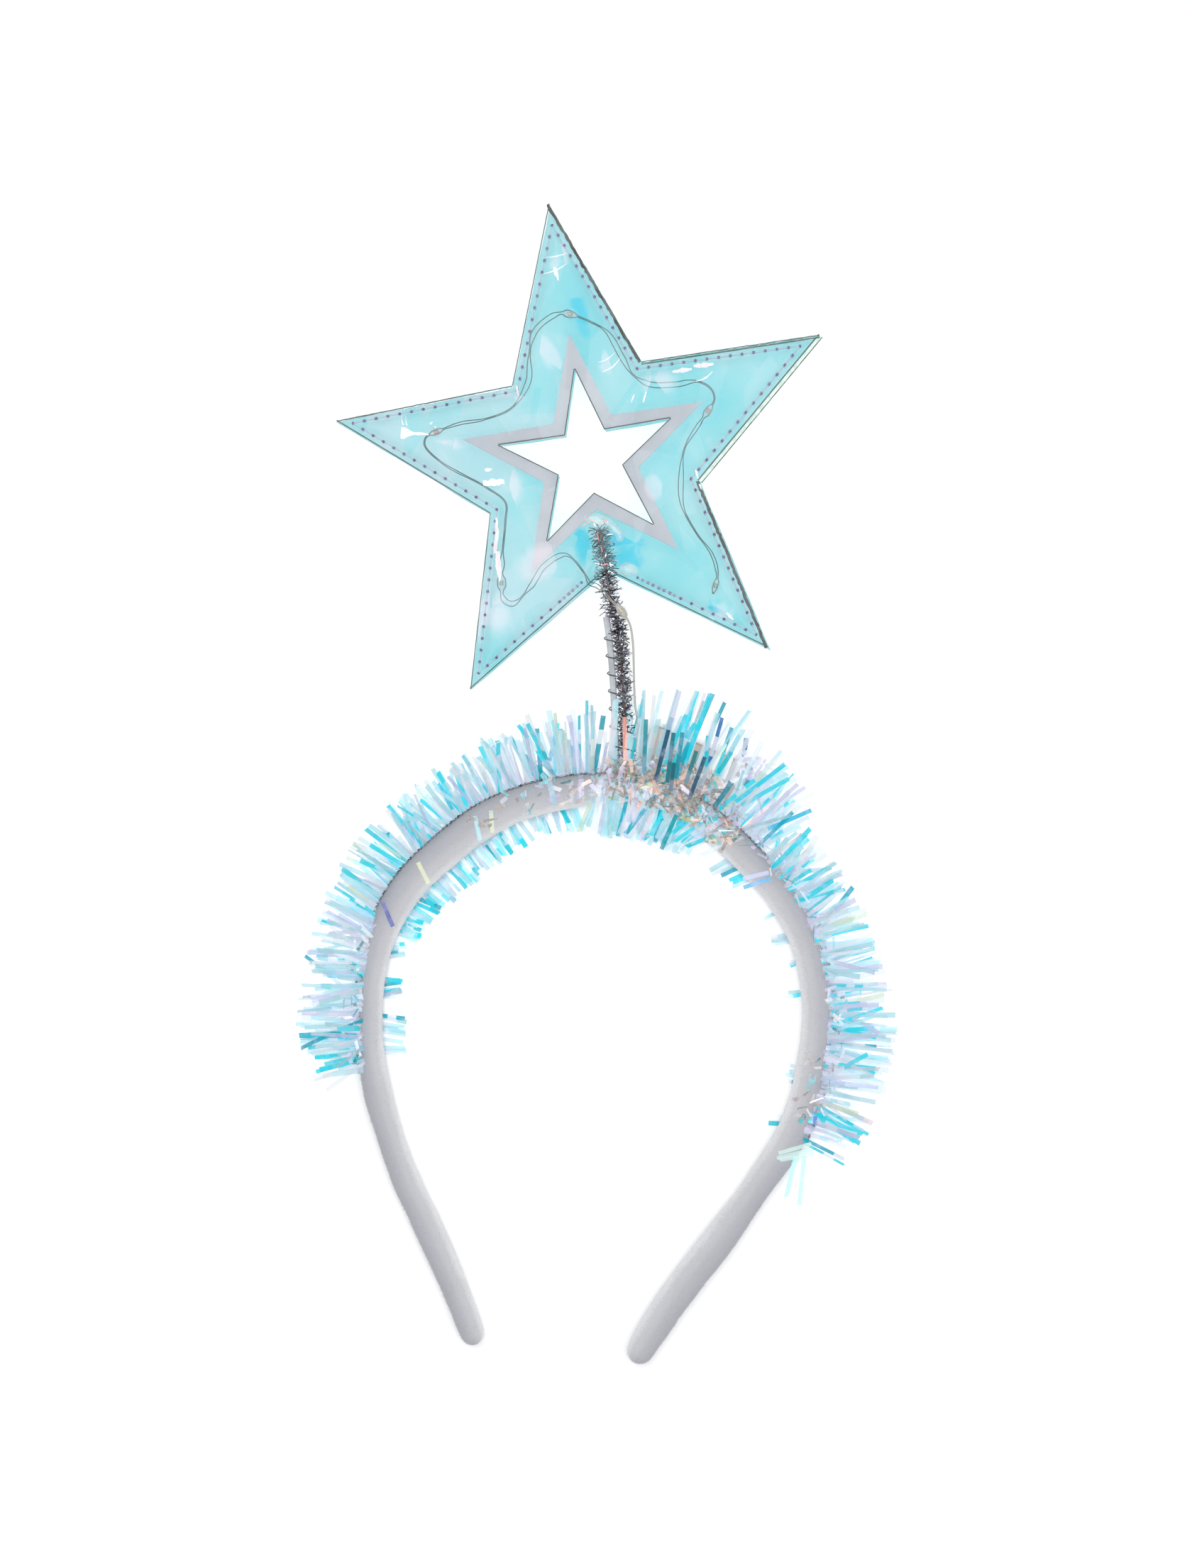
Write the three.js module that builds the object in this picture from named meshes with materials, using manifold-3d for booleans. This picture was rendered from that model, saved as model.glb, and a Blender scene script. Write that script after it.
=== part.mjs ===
import * as THREE from 'three';
import { mergeVertices } from 'three/addons/utils/BufferGeometryUtils.js';
import Module from 'manifold-3d';

// A light-up star headband, lying on its side. Millimetres, +X right, +Y towards the star,
// +Z up from the surface it lies on. The origin is the middle of the underside of its box.

// Clearance between neighbouring pieces
const GAP = 0.3;

// Padded, cloth-covered band
const BAND_HALF_WIDTH = 63.2;
const BAND_DROP = 160.6;
const BAND_THICKNESS = 9.6;
const BAND_DEPTH = 9.4;
const CLOTH_PRESSED = 0.45;

// Star of two clear films round an open window
const STAR_TIP_RADIUS = 72.9;
const STAR_NOTCH_RADIUS = 31.4;
const HOLE_TIP_RADIUS = 25.8;
const HOLE_NOTCH_RADIUS = 9.5;
const FRAME_TIP_RADIUS = 35.9;
const FRAME_NOTCH_RADIUS = 14.2;
const STAR_TURN = THREE.MathUtils.degToRad(8.9);
const FILM_THICKNESS = 0.45;
const FRAME_THICKNESS = 0.8;

// Stem from the band to the star
const STEM_HEIGHT = 56.8;
const STEM_LEAN = -4.8;
const STEM_SEAT_GAP = 0.7;
const POCKET_DEPTH = 11.5;
const COIL_RADIUS = 3.2;
const COIL_WIRE_RADIUS = 0.2;
const COIL_PITCH = 5;
const TUBE_RADIUS = 0.9;
const TINSEL_RADIUS = 2.6;
const TINSEL_PRESSED_HALF = 1.5;
const TINSEL_WHORLS = 25;
const TINSEL_VALLEY_SHARE = 0.8;

// Fairy lights: a pair of fine wires with resin drops
const WIRE_PAIR_RADIUS = 0.4;
const DROP_RADIUS = 1.1;
const DROP_HALF_LENGTH = 2.4;

// Tinsel garland along the outer ridge of the band
const GARLAND_CORE_RADIUS = 0.6;
const GARLAND_SIDE_ANGLE = THREE.MathUtils.degToRad(36);
const LOCK_LENGTH = 17;
const LOCK_TIP_WIDTH = 5.2;
const LOCK_ROOT_WIDTH = 2.2;
const LOCK_THICKNESS = 0.8;
const LOCK_PITCH = 4.7;
const LOCK_SWAY_SHARE = 0.3;
const LOCK_SCATTER_DEGREES = 8;
const LOCK_SCATTER_SHARE = 0.2;

// Locks that lie over the front of the band: where they cross its crest, as a share of its half
// width, and how far they reach past its inner edge and drop there
const INNER_CREST_SHARE = 0.3;
const INNER_REACH = 10;
const INNER_DROP = 2;

// Battery box
const BOX_LENGTH = 31;
const BOX_HEIGHT = 13;
const BOX_DEPTH = 7;
const BOX_CORNER = 1.5;
const BOX_BEVEL = 0.6;

// Places along the band, as shares of its length from the left tip to the right tip
const STEM_SEAT = 0.5035;
const BOX_SEAT = 0.543;
const GARLAND_START = 0.205;
const GARLAND_END = 0.817;
const INNER_FRINGE_START = 0.482;
const INNER_FRINGE_END = 0.545;

// Centre line of the band, left tip to right tip. across is a share of the half width,
// drop a share of the whole drop, thick a share of the thickness.
const BAND_ROWS = [
  { across: -0.545, drop: 0.955, thick: 0.70 },
  { across: -0.595, drop: 0.902, thick: 0.78 },
  { across: -0.674, drop: 0.828, thick: 0.82 },
  { across: -0.760, drop: 0.753, thick: 0.87 },
  { across: -0.846, drop: 0.680, thick: 0.83 },
  { across: -0.915, drop: 0.604, thick: 0.79 },
  { across: -0.968, drop: 0.530, thick: 0.84 },
  { across: -0.998, drop: 0.455, thick: 0.80 },
  { across: -1.003, drop: 0.386, thick: 0.79 },
  { across: -0.985, drop: 0.306, thick: 0.84 },
  { across: -0.935, drop: 0.241, thick: 0.92 },
  { across: -0.823, drop: 0.167, thick: 1.03 },
  { across: -0.658, drop: 0.104, thick: 1.08 },
  { across: -0.481, drop: 0.052, thick: 1.08 },
  { across: -0.307, drop: 0.022, thick: 1.04 },
  { across: -0.142, drop: 0.006, thick: 1.00 },
  { across: 0.028, drop: 0.000, thick: 0.98 },
  { across: 0.206, drop: 0.008, thick: 1.00 },
  { across: 0.405, drop: 0.035, thick: 1.00 },
  { across: 0.563, drop: 0.076, thick: 0.97 },
  { across: 0.718, drop: 0.135, thick: 0.92 },
  { across: 0.838, drop: 0.190, thick: 0.93 },
  { across: 0.924, drop: 0.248, thick: 0.96 },
  { across: 0.975, drop: 0.306, thick: 0.98 },
  { across: 0.997, drop: 0.366, thick: 1.00 },
  { across: 0.997, drop: 0.424, thick: 1.01 },
  { across: 0.976, drop: 0.486, thick: 0.99 },
  { across: 0.936, drop: 0.552, thick: 0.98 },
  { across: 0.873, drop: 0.611, thick: 0.97 },
  { across: 0.710, drop: 0.706, thick: 0.84 },
  { across: 0.576, drop: 0.780, thick: 0.97 },
  { across: 0.380, drop: 0.880, thick: 0.97 },
  { across: 0.258, drop: 0.950, thick: 0.92 },
  { across: 0.205, drop: 0.985, thick: 0.80 },
];
const BAND_SECTION_SIDES = 12;
const BAND_STATIONS = 48;

// How the stem's axis leans on its way up, both as shares
const STEM_ROWS = [
  { up: 0, lean: 0 },
  { up: 0.3, lean: 0.14 },
  { up: 0.5, lean: 0.26 },
  { up: 0.68, lean: 0.46 },
  { up: 0.8, lean: 0.68 },
  { up: 1, lean: 1 },
];

// Shares of the stem's height that the coil, the tube and the full tinsel reach, and where the
// films begin to press the tinsel flat
const COIL_SHARE = 0.71;
const TUBE_SHARE = 0.77;
const TINSEL_FULL_SHARE = 0.84;
const TINSEL_PRESSED_SHARE = 0.93;

// How the star's cut corners differ from a regular star's, from the top tip anticlockwise: turn
// in degrees, reach as a share of the tip or notch radius. The window is regular.
const CORNER_ROWS = [
  { turn: 0, reach: 1 },
  { turn: 1.2, reach: 0.955 },
  { turn: 0.4, reach: 0.986 },
  { turn: 1.8, reach: 1.011 },
  { turn: -0.2, reach: 0.998 },
  { turn: 0, reach: 1 },
  { turn: -1.3, reach: 1.003 },
  { turn: -1.8, reach: 1.003 },
  { turn: 1.5, reach: 1.013 },
  { turn: -1, reach: 0.995 },
];

// Space between the films, from the cut edge inwards to the window frame. inward is a share of
// the way to the hole, swell a share of the fullest half space.
const SWELL_ROWS = [
  { inward: 0, swell: 0.22 },
  { inward: 0.117, swell: 0 },
  { inward: 0.19, swell: 0.55 },
  { inward: 0.28, swell: 0.93 },
  { inward: 0.4, swell: 1 },
  { inward: 0.54, swell: 1 },
  { inward: 0.68, swell: 0.85 },
];

// How far round the stem and the notch glue the films stay apart, in millimetres: flat first,
// then falling
const STEM_SWELL = { flat: 0.8, fall: 4.6, pastTop: 1, topFall: 5 };
const GLUE_SWELL = { flat: 0.6, fall: 3 };

// Route of the lights inside the star, from the notch to the last drop, as shares of the star's
// tip radius from its centre. lamp marks the points that carry a drop.
const STAR_ROUTE = [
  { across: 0.004, up: -0.478 },
  { across: -0.019, up: -0.436 },
  { across: -0.088, up: -0.368 },
  { across: -0.170, up: -0.409 },
  { across: -0.225, up: -0.491 },
  { across: -0.294, up: -0.557 },
  { across: -0.329, up: -0.540 },
  { across: -0.337, up: -0.477, lamp: true },
  { across: -0.335, up: -0.381 },
  { across: -0.322, up: -0.235 },
  { across: -0.322, up: -0.166 },
  { across: -0.400, up: -0.105 },
  { across: -0.565, up: -0.014 },
  { across: -0.634, up: 0.055 },
  { across: -0.628, up: 0.088 },
  { across: -0.590, up: 0.107, lamp: true },
  { across: -0.497, up: 0.140 },
  { across: -0.403, up: 0.156 },
  { across: -0.297, up: 0.201 },
  { across: -0.233, up: 0.305 },
  { across: -0.230, up: 0.395 },
  { across: -0.211, up: 0.491 },
  { across: -0.156, up: 0.546 },
  { across: -0.110, up: 0.566 },
  { across: -0.071, up: 0.562, lamp: true },
  { across: 0.008, up: 0.532 },
  { across: 0.069, up: 0.495 },
  { across: 0.129, up: 0.395 },
  { across: 0.170, up: 0.329 },
  { across: 0.239, up: 0.291 },
  { across: 0.335, up: 0.291 },
  { across: 0.422, up: 0.302 },
  { across: 0.472, up: 0.274 },
  { across: 0.486, up: 0.233 },
  { across: 0.461, up: 0.189, lamp: true },
  { across: 0.417, up: 0.123 },
  { across: 0.370, up: 0.041 },
  { across: 0.357, up: -0.069 },
  { across: 0.362, up: -0.178 },
  { across: 0.417, up: -0.285 },
  { across: 0.477, up: -0.368 },
  { across: 0.497, up: -0.450 },
  { across: 0.480, up: -0.519, lamp: true },
];

// Route of the lights round the stem, from the battery box up. height is a share of the stem's
// height, angle turns from its right side to its front in degrees, spare is added clearance.
const STEM_ROUTE = [
  { height: 0.2, angle: 0, spare: 0.35 },
  { height: 0.33, angle: 0, spare: 0.05 },
  { height: 0.44, angle: 0, spare: 0.05 },
  { height: 0.53, angle: 0, spare: 0.3 },
  { height: 0.63, angle: 5, spare: 0.6 },
  { height: 0.717, angle: 20, spare: 0.6 },
  { height: 0.785, angle: 52, spare: 0.35, lamp: true },
  { height: 0.86, angle: 96, spare: 0.05 },
  { height: 0.925, angle: 150, spare: 0.3 },
];

// Straight length of the string in front of the box, and the step between its sections
const STRING_LEAD = 2.2;
const STRING_STEP = 5.5;

// Lumps of set glue between the films: places as shares of the star's notch radius, sizes in mm
const GLUE_TOP_ROWS = [
  { across: 0.01, up: -0.565, half: 0.9 },
  { across: 0.085, up: -0.560, half: 1.35 },
  { across: 0.16, up: -0.585, half: 0.8 },
  { across: 0.225, up: -0.635, half: 0.75 },
  { across: 0.27, up: -0.70, half: 1.0 },
  { across: 0.28, up: -0.765, half: 1.15 },
];
const GLUE_NOTCH = { across: 0.338, up: -0.985, half: 2.1, halfDepth: 0.7 };
const GLUE_FLATNESS = 0.75;

const wasm = await Module();
wasm.setup();

// Small helpers

function vector(x, y, z) {
  return new THREE.Vector3(x, y, z);
}

function smooth(share) {
  const t = THREE.MathUtils.clamp(share, 0, 1);
  return t * t * (3 - 2 * t);
}

// A repeatable scatter between 0 and 1
function scatter(seed) {
  const value = Math.sin(seed * 127.1 + 11.7) * 4375.85;
  return value - Math.floor(value);
}

// Linear reading of a table of rows
function readRows(rows, key, at, column) {
  let i = 0;
  while (i < rows.length - 2 && rows[i + 1][key] < at) {
    i += 1;
  }
  const low = rows[i];
  const high = rows[i + 1];
  const t = THREE.MathUtils.clamp((at - low[key]) / (high[key] - low[key]), 0, 1);
  return THREE.MathUtils.lerp(low[column], high[column], t);
}

// Faces turned outwards, shared vertices, shaded normals
function closedGeometry(positions, index) {
  let volume = 0;
  const corner = (i) => vector(positions[3 * i], positions[3 * i + 1], positions[3 * i + 2]);
  for (let i = 0; i < index.length; i += 3) {
    const a = corner(index[i]);
    const b = corner(index[i + 1]);
    const c = corner(index[i + 2]);
    volume += a.dot(b.cross(c));
  }
  if (volume < 0) {
    index.reverse();
  }
  const geometry = new THREE.BufferGeometry();
  geometry.setAttribute('position', new THREE.Float32BufferAttribute(positions, 3));
  geometry.setIndex(index);
  geometry.computeVertexNormals();
  return geometry;
}

// A closed body through rings of equally many points, with a fan over each end
function loft(rings) {
  const sides = rings[0].length;
  const positions = [];
  const index = [];
  rings.forEach((ring) => ring.forEach((p) => positions.push(p.x, p.y, p.z)));
  for (let i = 0; i < rings.length - 1; i += 1) {
    for (let j = 0; j < sides; j += 1) {
      const next = (j + 1) % sides;
      const a = i * sides + j;
      const b = i * sides + next;
      index.push(a, b, b + sides, a, b + sides, a + sides);
    }
  }
  [0, rings.length - 1].forEach((end) => {
    const middle = vector(0, 0, 0);
    rings[end].forEach((p) => middle.add(p));
    middle.divideScalar(sides);
    const hub = positions.length / 3;
    positions.push(middle.x, middle.y, middle.z);
    for (let j = 0; j < sides; j += 1) {
      const a = end * sides + j;
      const b = end * sides + ((j + 1) % sides);
      index.push(...(end === 0 ? [hub, b, a] : [hub, a, b]));
    }
  });
  return closedGeometry(positions, index);
}

// The direction to the outer side of a curve that runs left to right in the XY plane
function outward(tangent) {
  return vector(-tangent.y, tangent.x, 0).normalize();
}

// A round or oval ring of points across a direction
function ovalRing(middle, side, up, halfSide, halfUp, sides, phase = 0) {
  const ring = [];
  for (let j = 0; j < sides; j += 1) {
    const a = ((j + phase) / sides) * 2 * Math.PI;
    ring.push(middle.clone()
      .addScaledVector(side, Math.cos(a) * halfSide)
      .addScaledVector(up, Math.sin(a) * halfUp));
  }
  return ring;
}

// A tube along a list of points; radiusAt gives its radius at each
function tube(points, radiusAt, sides, flatness = 1) {
  const rings = points.map((p, i) => {
    const before = points[Math.max(i - 1, 0)];
    const after = points[Math.min(i + 1, points.length - 1)];
    const tangent = after.clone().sub(before).normalize();
    const side = vector(0, 0, 1).cross(tangent).normalize();
    const up = tangent.clone().cross(side);
    const radius = radiusAt(i);
    return ovalRing(p, side, up, radius, radius * flatness, sides);
  });
  return loft(rings);
}

function toManifold(source) {
  const bare = source.clone();
  bare.deleteAttribute('normal');
  bare.deleteAttribute('uv');
  const merged = mergeVertices(bare, 1e-4);
  return new wasm.Manifold(new wasm.Mesh({
    numProp: 3,
    vertProperties: new Float32Array(merged.attributes.position.array),
    triVerts: new Uint32Array(merged.index.array),
  }));
}

function fromManifold(solid) {
  const mesh = solid.getMesh();
  const geometry = new THREE.BufferGeometry();
  geometry.setAttribute('position', new THREE.BufferAttribute(mesh.vertProperties, 3));
  geometry.setIndex(new THREE.BufferAttribute(mesh.triVerts, 1));
  geometry.computeVertexNormals();
  return geometry;
}

function fuse(geometries) {
  const solids = geometries.map(toManifold);
  return fromManifold(solids.reduce((all, one) => all.add(one)));
}

// The band's centre line and sections

const BAND_MIDDLE_Z = BAND_DEPTH / 2 - CLOTH_PRESSED;
const bandCurve = new THREE.CatmullRomCurve3(
  BAND_ROWS.map((row) => vector(
    row.across * BAND_HALF_WIDTH,
    -row.drop * BAND_DROP,
    BAND_MIDDLE_Z,
  )),
  false,
  'centripetal',
);
bandCurve.arcLengthDivisions = 600;
const bandLength = bandCurve.getLength();
const rowShares = BAND_ROWS.map((row, i) => {
  const lengths = bandCurve.getLengths(bandCurve.arcLengthDivisions);
  const at = Math.round((i / (BAND_ROWS.length - 1)) * bandCurve.arcLengthDivisions);
  return { share: lengths[at] / bandLength, thick: row.thick };
});

function bandAt(share) {
  const point = bandCurve.getPointAt(share);
  const tangent = bandCurve.getTangentAt(share).setZ(0).normalize();
  const half = (readRows(rowShares, 'share', share, 'thick') * BAND_THICKNESS) / 2;
  return { point, tangent, out: outward(tangent), half };
}

function bandRing(middle, out, half, depthShare) {
  const up = vector(0, 0, 1);
  const halfDepth = (BAND_DEPTH / 2) * depthShare;
  const ring = ovalRing(middle, out, up, half, halfDepth, BAND_SECTION_SIDES, 0.5);
  ring.forEach((p) => {
    p.z = Math.max(p.z, 0);
  });
  return ring;
}

function headband() {
  const rings = [];
  const roundEndDegrees = [80, 55, 28];
  const tip = (share, direction) => roundEndDegrees.map((degrees) => {
    const { point, tangent, out, half } = bandAt(share);
    const a = THREE.MathUtils.degToRad(degrees);
    const shrink = Math.cos(a);
    const middle = point.clone().addScaledVector(tangent, direction * half * Math.sin(a));
    return bandRing(middle, out, half * shrink, shrink);
  });
  rings.push(...tip(0, -1));
  for (let i = 0; i <= BAND_STATIONS; i += 1) {
    const { point, out, half } = bandAt(i / BAND_STATIONS);
    rings.push(bandRing(point, out, half, 1));
  }
  rings.push(...tip(1, 1).reverse());
  return loft(rings);
}

// The stem: axis from the band up into the star

const seat = bandAt(STEM_SEAT);
const stemBase = seat.point.clone()
  .addScaledVector(vector(0, 1, 0), BAND_THICKNESS / 2 + STEM_SEAT_GAP);
const starNotch = stemBase.clone().add(vector(STEM_LEAN, STEM_HEIGHT, 0));
const starUp = vector(-Math.sin(STAR_TURN), Math.cos(STAR_TURN), 0);
const starCentre = starNotch.clone().addScaledVector(starUp, STAR_NOTCH_RADIUS);
const stemTop = starNotch.clone().addScaledVector(starUp, POCKET_DEPTH);

function stemAxis() {
  const points = STEM_ROWS.map((row) => stemBase.clone()
    .add(vector(row.lean * STEM_LEAN, row.up * STEM_HEIGHT, 0)));
  points.push(stemTop);
  return new THREE.CatmullRomCurve3(points, false, 'centripetal');
}

const stemCurve = stemAxis();
const stemLength = stemCurve.getLength();

// The axis at a share of its whole length, the end inside the star included
function stemAlong(share) {
  const point = stemCurve.getPointAt(share);
  const tangent = stemCurve.getTangentAt(share);
  return { point, tangent, right: outward(tangent).negate() };
}

// The axis at a share of the visible height
function stemAt(height) {
  return stemAlong((height * STEM_HEIGHT) / (STEM_HEIGHT + POCKET_DEPTH));
}

const COIL_INSIDE = COIL_RADIUS - COIL_WIRE_RADIUS - GAP;
const TUBE_OFFSET = -(COIL_INSIDE - TUBE_RADIUS);
const SLIM_TINSEL_RADIUS = (2 * COIL_INSIDE - 2 * TUBE_RADIUS - GAP) / 2;
const SLIM_TINSEL_OFFSET = COIL_INSIDE - SLIM_TINSEL_RADIUS;

function stemTube() {
  const steps = 14;
  const points = [];
  for (let i = 0; i <= steps; i += 1) {
    const { point, right } = stemAt((i / steps) * TUBE_SHARE);
    points.push(point.addScaledVector(right, TUBE_OFFSET));
  }
  return tube(points, () => TUBE_RADIUS, 8);
}

// Tinsel whorls: full above the tube, slim beside it, pressed flat between the films
function stemTinsel() {
  const topHeight = (STEM_HEIGHT + POCKET_DEPTH) / STEM_HEIGHT;
  const rings = [];
  for (let i = 0; i <= 2 * TINSEL_WHORLS; i += 1) {
    const share = i / (2 * TINSEL_WHORLS);
    const height = share * topHeight;
    const { point, tangent, right } = stemAlong(share);
    const full = smooth((height - TUBE_SHARE) / (TINSEL_FULL_SHARE - TUBE_SHARE));
    const pressed = smooth((height - TINSEL_PRESSED_SHARE) / (1 - TINSEL_PRESSED_SHARE));
    const nearTop = (topHeight - height) * STEM_HEIGHT + GAP;
    const ending = Math.sqrt(THREE.MathUtils.clamp(nearTop / TINSEL_RADIUS, 0, 1));
    const ridge = i % 2 === 0 ? 1 : TINSEL_VALLEY_SHARE;
    const wide = THREE.MathUtils.lerp(SLIM_TINSEL_RADIUS, TINSEL_RADIUS, full);
    const deep = THREE.MathUtils.lerp(wide, TINSEL_PRESSED_HALF, pressed);
    const offset = THREE.MathUtils.lerp(SLIM_TINSEL_OFFSET, 0, full);
    point.addScaledVector(right, offset);
    const up = right.clone().cross(tangent).normalize();
    rings.push(ovalRing(point, right, up, wide * ridge * ending, deep * ridge * ending, 8));
  }
  return loft(rings);
}

function stemCoil() {
  const stepsPerTurn = 8;
  const turns = (COIL_SHARE * STEM_HEIGHT) / COIL_PITCH;
  const steps = Math.round(turns * stepsPerTurn);
  const points = [];
  for (let i = 0; i <= steps; i += 1) {
    const height = COIL_WIRE_RADIUS / STEM_HEIGHT + (i / steps) * COIL_SHARE;
    const { point, tangent, right } = stemAt(height);
    const up = right.clone().cross(tangent).normalize();
    const a = (i / stepsPerTurn) * 2 * Math.PI;
    points.push(point
      .addScaledVector(right, Math.cos(a) * COIL_RADIUS)
      .addScaledVector(up, Math.sin(a) * COIL_RADIUS));
  }
  return tube(points, () => COIL_WIRE_RADIUS, 5);
}

// The star's outlines. A place on an outline counts corners from the top tip: even numbers are
// tips and odd ones are notches. inward is 0 at the cut edge and 1 where the outline is regular.

const BOTTOM_NOTCH = 5;

function starCorner(tipRadius, notchRadius, corner, inward) {
  const row = CORNER_ROWS[corner % CORNER_ROWS.length];
  const plainRadius = corner % 2 === 0 ? tipRadius : notchRadius;
  const radius = plainRadius * THREE.MathUtils.lerp(row.reach, 1, inward);
  const turn = THREE.MathUtils.degToRad(row.turn) * (1 - inward);
  const a = Math.PI / 2 + STAR_TURN + (corner * Math.PI) / 5 + turn;
  return vector(Math.cos(a) * radius, Math.sin(a) * radius, 0);
}

function starPoint(tipRadius, notchRadius, place, inward) {
  const corner = Math.floor(place);
  const start = starCorner(tipRadius, notchRadius, corner, inward);
  const end = starCorner(tipRadius, notchRadius, corner + 1, inward);
  return start.lerp(end, place - corner);
}

// Places round the outline, closer together beside the notch that takes the stem
function starPlaces() {
  const plain = [0, 0.34, 0.67];
  const towardNotch = [0, 0.3, 0.55, 0.7, 0.8, 0.87, 0.92, 0.96];
  const fromNotch = [0, 0.04, 0.08, 0.13, 0.2, 0.3, 0.45, 0.7];
  const places = [];
  for (let corner = 0; corner < 10; corner += 1) {
    let steps = plain;
    if (corner === BOTTOM_NOTCH - 1) {
      steps = towardNotch;
    } else if (corner === BOTTOM_NOTCH) {
      steps = fromNotch;
    }
    steps.forEach((step) => places.push(corner + step));
  }
  return places;
}

const FRAME_HALF_SPACE = FRAME_THICKNESS / 2 + GAP;
const FULL_HALF_SPACE = DROP_RADIUS + GAP + 0.1;
const STITCH_HALF_SPACE = GAP / 2;
const STEM_HALF_SPACE = TINSEL_PRESSED_HALF + GAP + 0.1;
const frameInward = (STAR_NOTCH_RADIUS - FRAME_NOTCH_RADIUS)
  / (STAR_NOTCH_RADIUS - HOLE_NOTCH_RADIUS);

// Half the space between the films at a point of the star
function halfSpace(inward, point) {
  let space = FRAME_HALF_SPACE;
  if (inward < frameInward) {
    const reach = inward / frameInward;
    const rows = SWELL_ROWS.map((row) => ({ inward: row.inward / frameInward, swell: row.swell }));
    rows.push({ inward: 1, swell: 0 });
    const swell = readRows(rows, 'inward', reach, 'swell');
    const rest = reach > 0.5 ? FRAME_HALF_SPACE : STITCH_HALF_SPACE;
    space = rest + (FULL_HALF_SPACE - rest) * swell;
  }
  const fromNotch = point.clone().sub(starUp.clone().multiplyScalar(-STAR_NOTCH_RADIUS));
  const along = fromNotch.dot(starUp);
  const aside = Math.abs(fromNotch.dot(vector(starUp.y, -starUp.x, 0)));
  const beside = 1 - smooth((aside - TINSEL_RADIUS - STEM_SWELL.flat) / STEM_SWELL.fall);
  const below = 1 - smooth((along - POCKET_DEPTH - STEM_SWELL.pastTop) / STEM_SWELL.topFall);
  const stemSpace = STITCH_HALF_SPACE + (STEM_HALF_SPACE - STITCH_HALF_SPACE) * beside * below;
  const glue = vector(GLUE_NOTCH.across, GLUE_NOTCH.up, 0).multiplyScalar(STAR_NOTCH_RADIUS);
  const fromGlue = point.distanceTo(glue);
  const overGlue = 1 - smooth((fromGlue - GLUE_NOTCH.half - GLUE_SWELL.flat) / GLUE_SWELL.fall);
  const glueSpace = STITCH_HALF_SPACE + (GLUE_NOTCH.halfDepth + GAP) * overGlue;
  return Math.max(space, stemSpace, glueSpace);
}

// One film of the star; face is +1 for the front and -1 for the back
function starFilm(face) {
  const inwards = [...SWELL_ROWS.map((row) => row.inward), frameInward, 1];
  const places = starPlaces();
  const count = places.length;
  const layers = [0, FILM_THICKNESS];
  const positions = [];
  const index = [];
  layers.forEach((lift) => {
    inwards.forEach((inward) => {
      const tipRadius = THREE.MathUtils.lerp(STAR_TIP_RADIUS, HOLE_TIP_RADIUS, inward);
      const notchRadius = THREE.MathUtils.lerp(STAR_NOTCH_RADIUS, HOLE_NOTCH_RADIUS, inward);
      places.forEach((place) => {
        const point = starPoint(tipRadius, notchRadius, place, inward);
        const z = face * (halfSpace(inward, point) + lift);
        positions.push(point.x, point.y, z);
      });
    });
  });
  const at = (layer, ring, j) => (layer * inwards.length + ring) * count + (j % count);
  const quad = (a, b, c, d) => index.push(a, b, c, a, c, d);
  for (let j = 0; j < count; j += 1) {
    for (let ring = 0; ring < inwards.length - 1; ring += 1) {
      quad(at(0, ring, j), at(0, ring + 1, j), at(0, ring + 1, j + 1), at(0, ring, j + 1));
      quad(at(1, ring, j), at(1, ring, j + 1), at(1, ring + 1, j + 1), at(1, ring + 1, j));
    }
    const last = inwards.length - 1;
    quad(at(0, 0, j), at(0, 0, j + 1), at(1, 0, j + 1), at(1, 0, j));
    quad(at(0, last, j), at(1, last, j), at(1, last, j + 1), at(0, last, j + 1));
  }
  return closedGeometry(positions, index);
}

function starShape(tipRadius, notchRadius, Kind) {
  const outline = new Kind();
  for (let corner = 0; corner < 10; corner += 1) {
    const p = starCorner(tipRadius, notchRadius, corner, 1);
    if (corner === 0) {
      outline.moveTo(p.x, p.y);
    } else {
      outline.lineTo(p.x, p.y);
    }
  }
  outline.closePath();
  return outline;
}

function windowFrame() {
  const shape = starShape(FRAME_TIP_RADIUS, FRAME_NOTCH_RADIUS, THREE.Shape);
  shape.holes.push(starShape(HOLE_TIP_RADIUS, HOLE_NOTCH_RADIUS, THREE.Path));
  const geometry = new THREE.ExtrudeGeometry(shape, { depth: FRAME_THICKNESS, bevelEnabled: false });
  geometry.translate(0, 0, -FRAME_THICKNESS / 2);
  return geometry;
}

// Glue that holds the stem's end under the window, with a drip beside it
function glueTop() {
  const points = GLUE_TOP_ROWS.map((row) => vector(row.across, row.up, 0)
    .multiplyScalar(STAR_NOTCH_RADIUS));
  return tube(points, (i) => GLUE_TOP_ROWS[i].half, 8, GLUE_FLATNESS);
}

function glueNotch() {
  const lump = new THREE.SphereGeometry(GLUE_NOTCH.half, 10, 6);
  lump.scale(1, 1, GLUE_NOTCH.halfDepth / GLUE_NOTCH.half);
  lump.translate(
    GLUE_NOTCH.across * STAR_NOTCH_RADIUS,
    GLUE_NOTCH.up * STAR_NOTCH_RADIUS,
    0,
  );
  lump.deleteAttribute('uv');
  lump.deleteAttribute('normal');
  return mergeVertices(lump, 1e-4);
}

// The battery box, seated on the outer side of the band

const boxSeat = bandAt(BOX_SEAT);
const coreReach = coreAt(BOX_SEAT).point.sub(boxSeat.point).dot(boxSeat.out);
const boxOut = coreReach + GARLAND_CORE_RADIUS + GAP + BOX_HEIGHT / 2;
const boxMiddle = boxSeat.point.clone()
  .addScaledVector(boxSeat.out, boxOut)
  .setZ(GAP + BOX_DEPTH / 2);
const boxTurn = Math.atan2(boxSeat.tangent.y, boxSeat.tangent.x);

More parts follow.
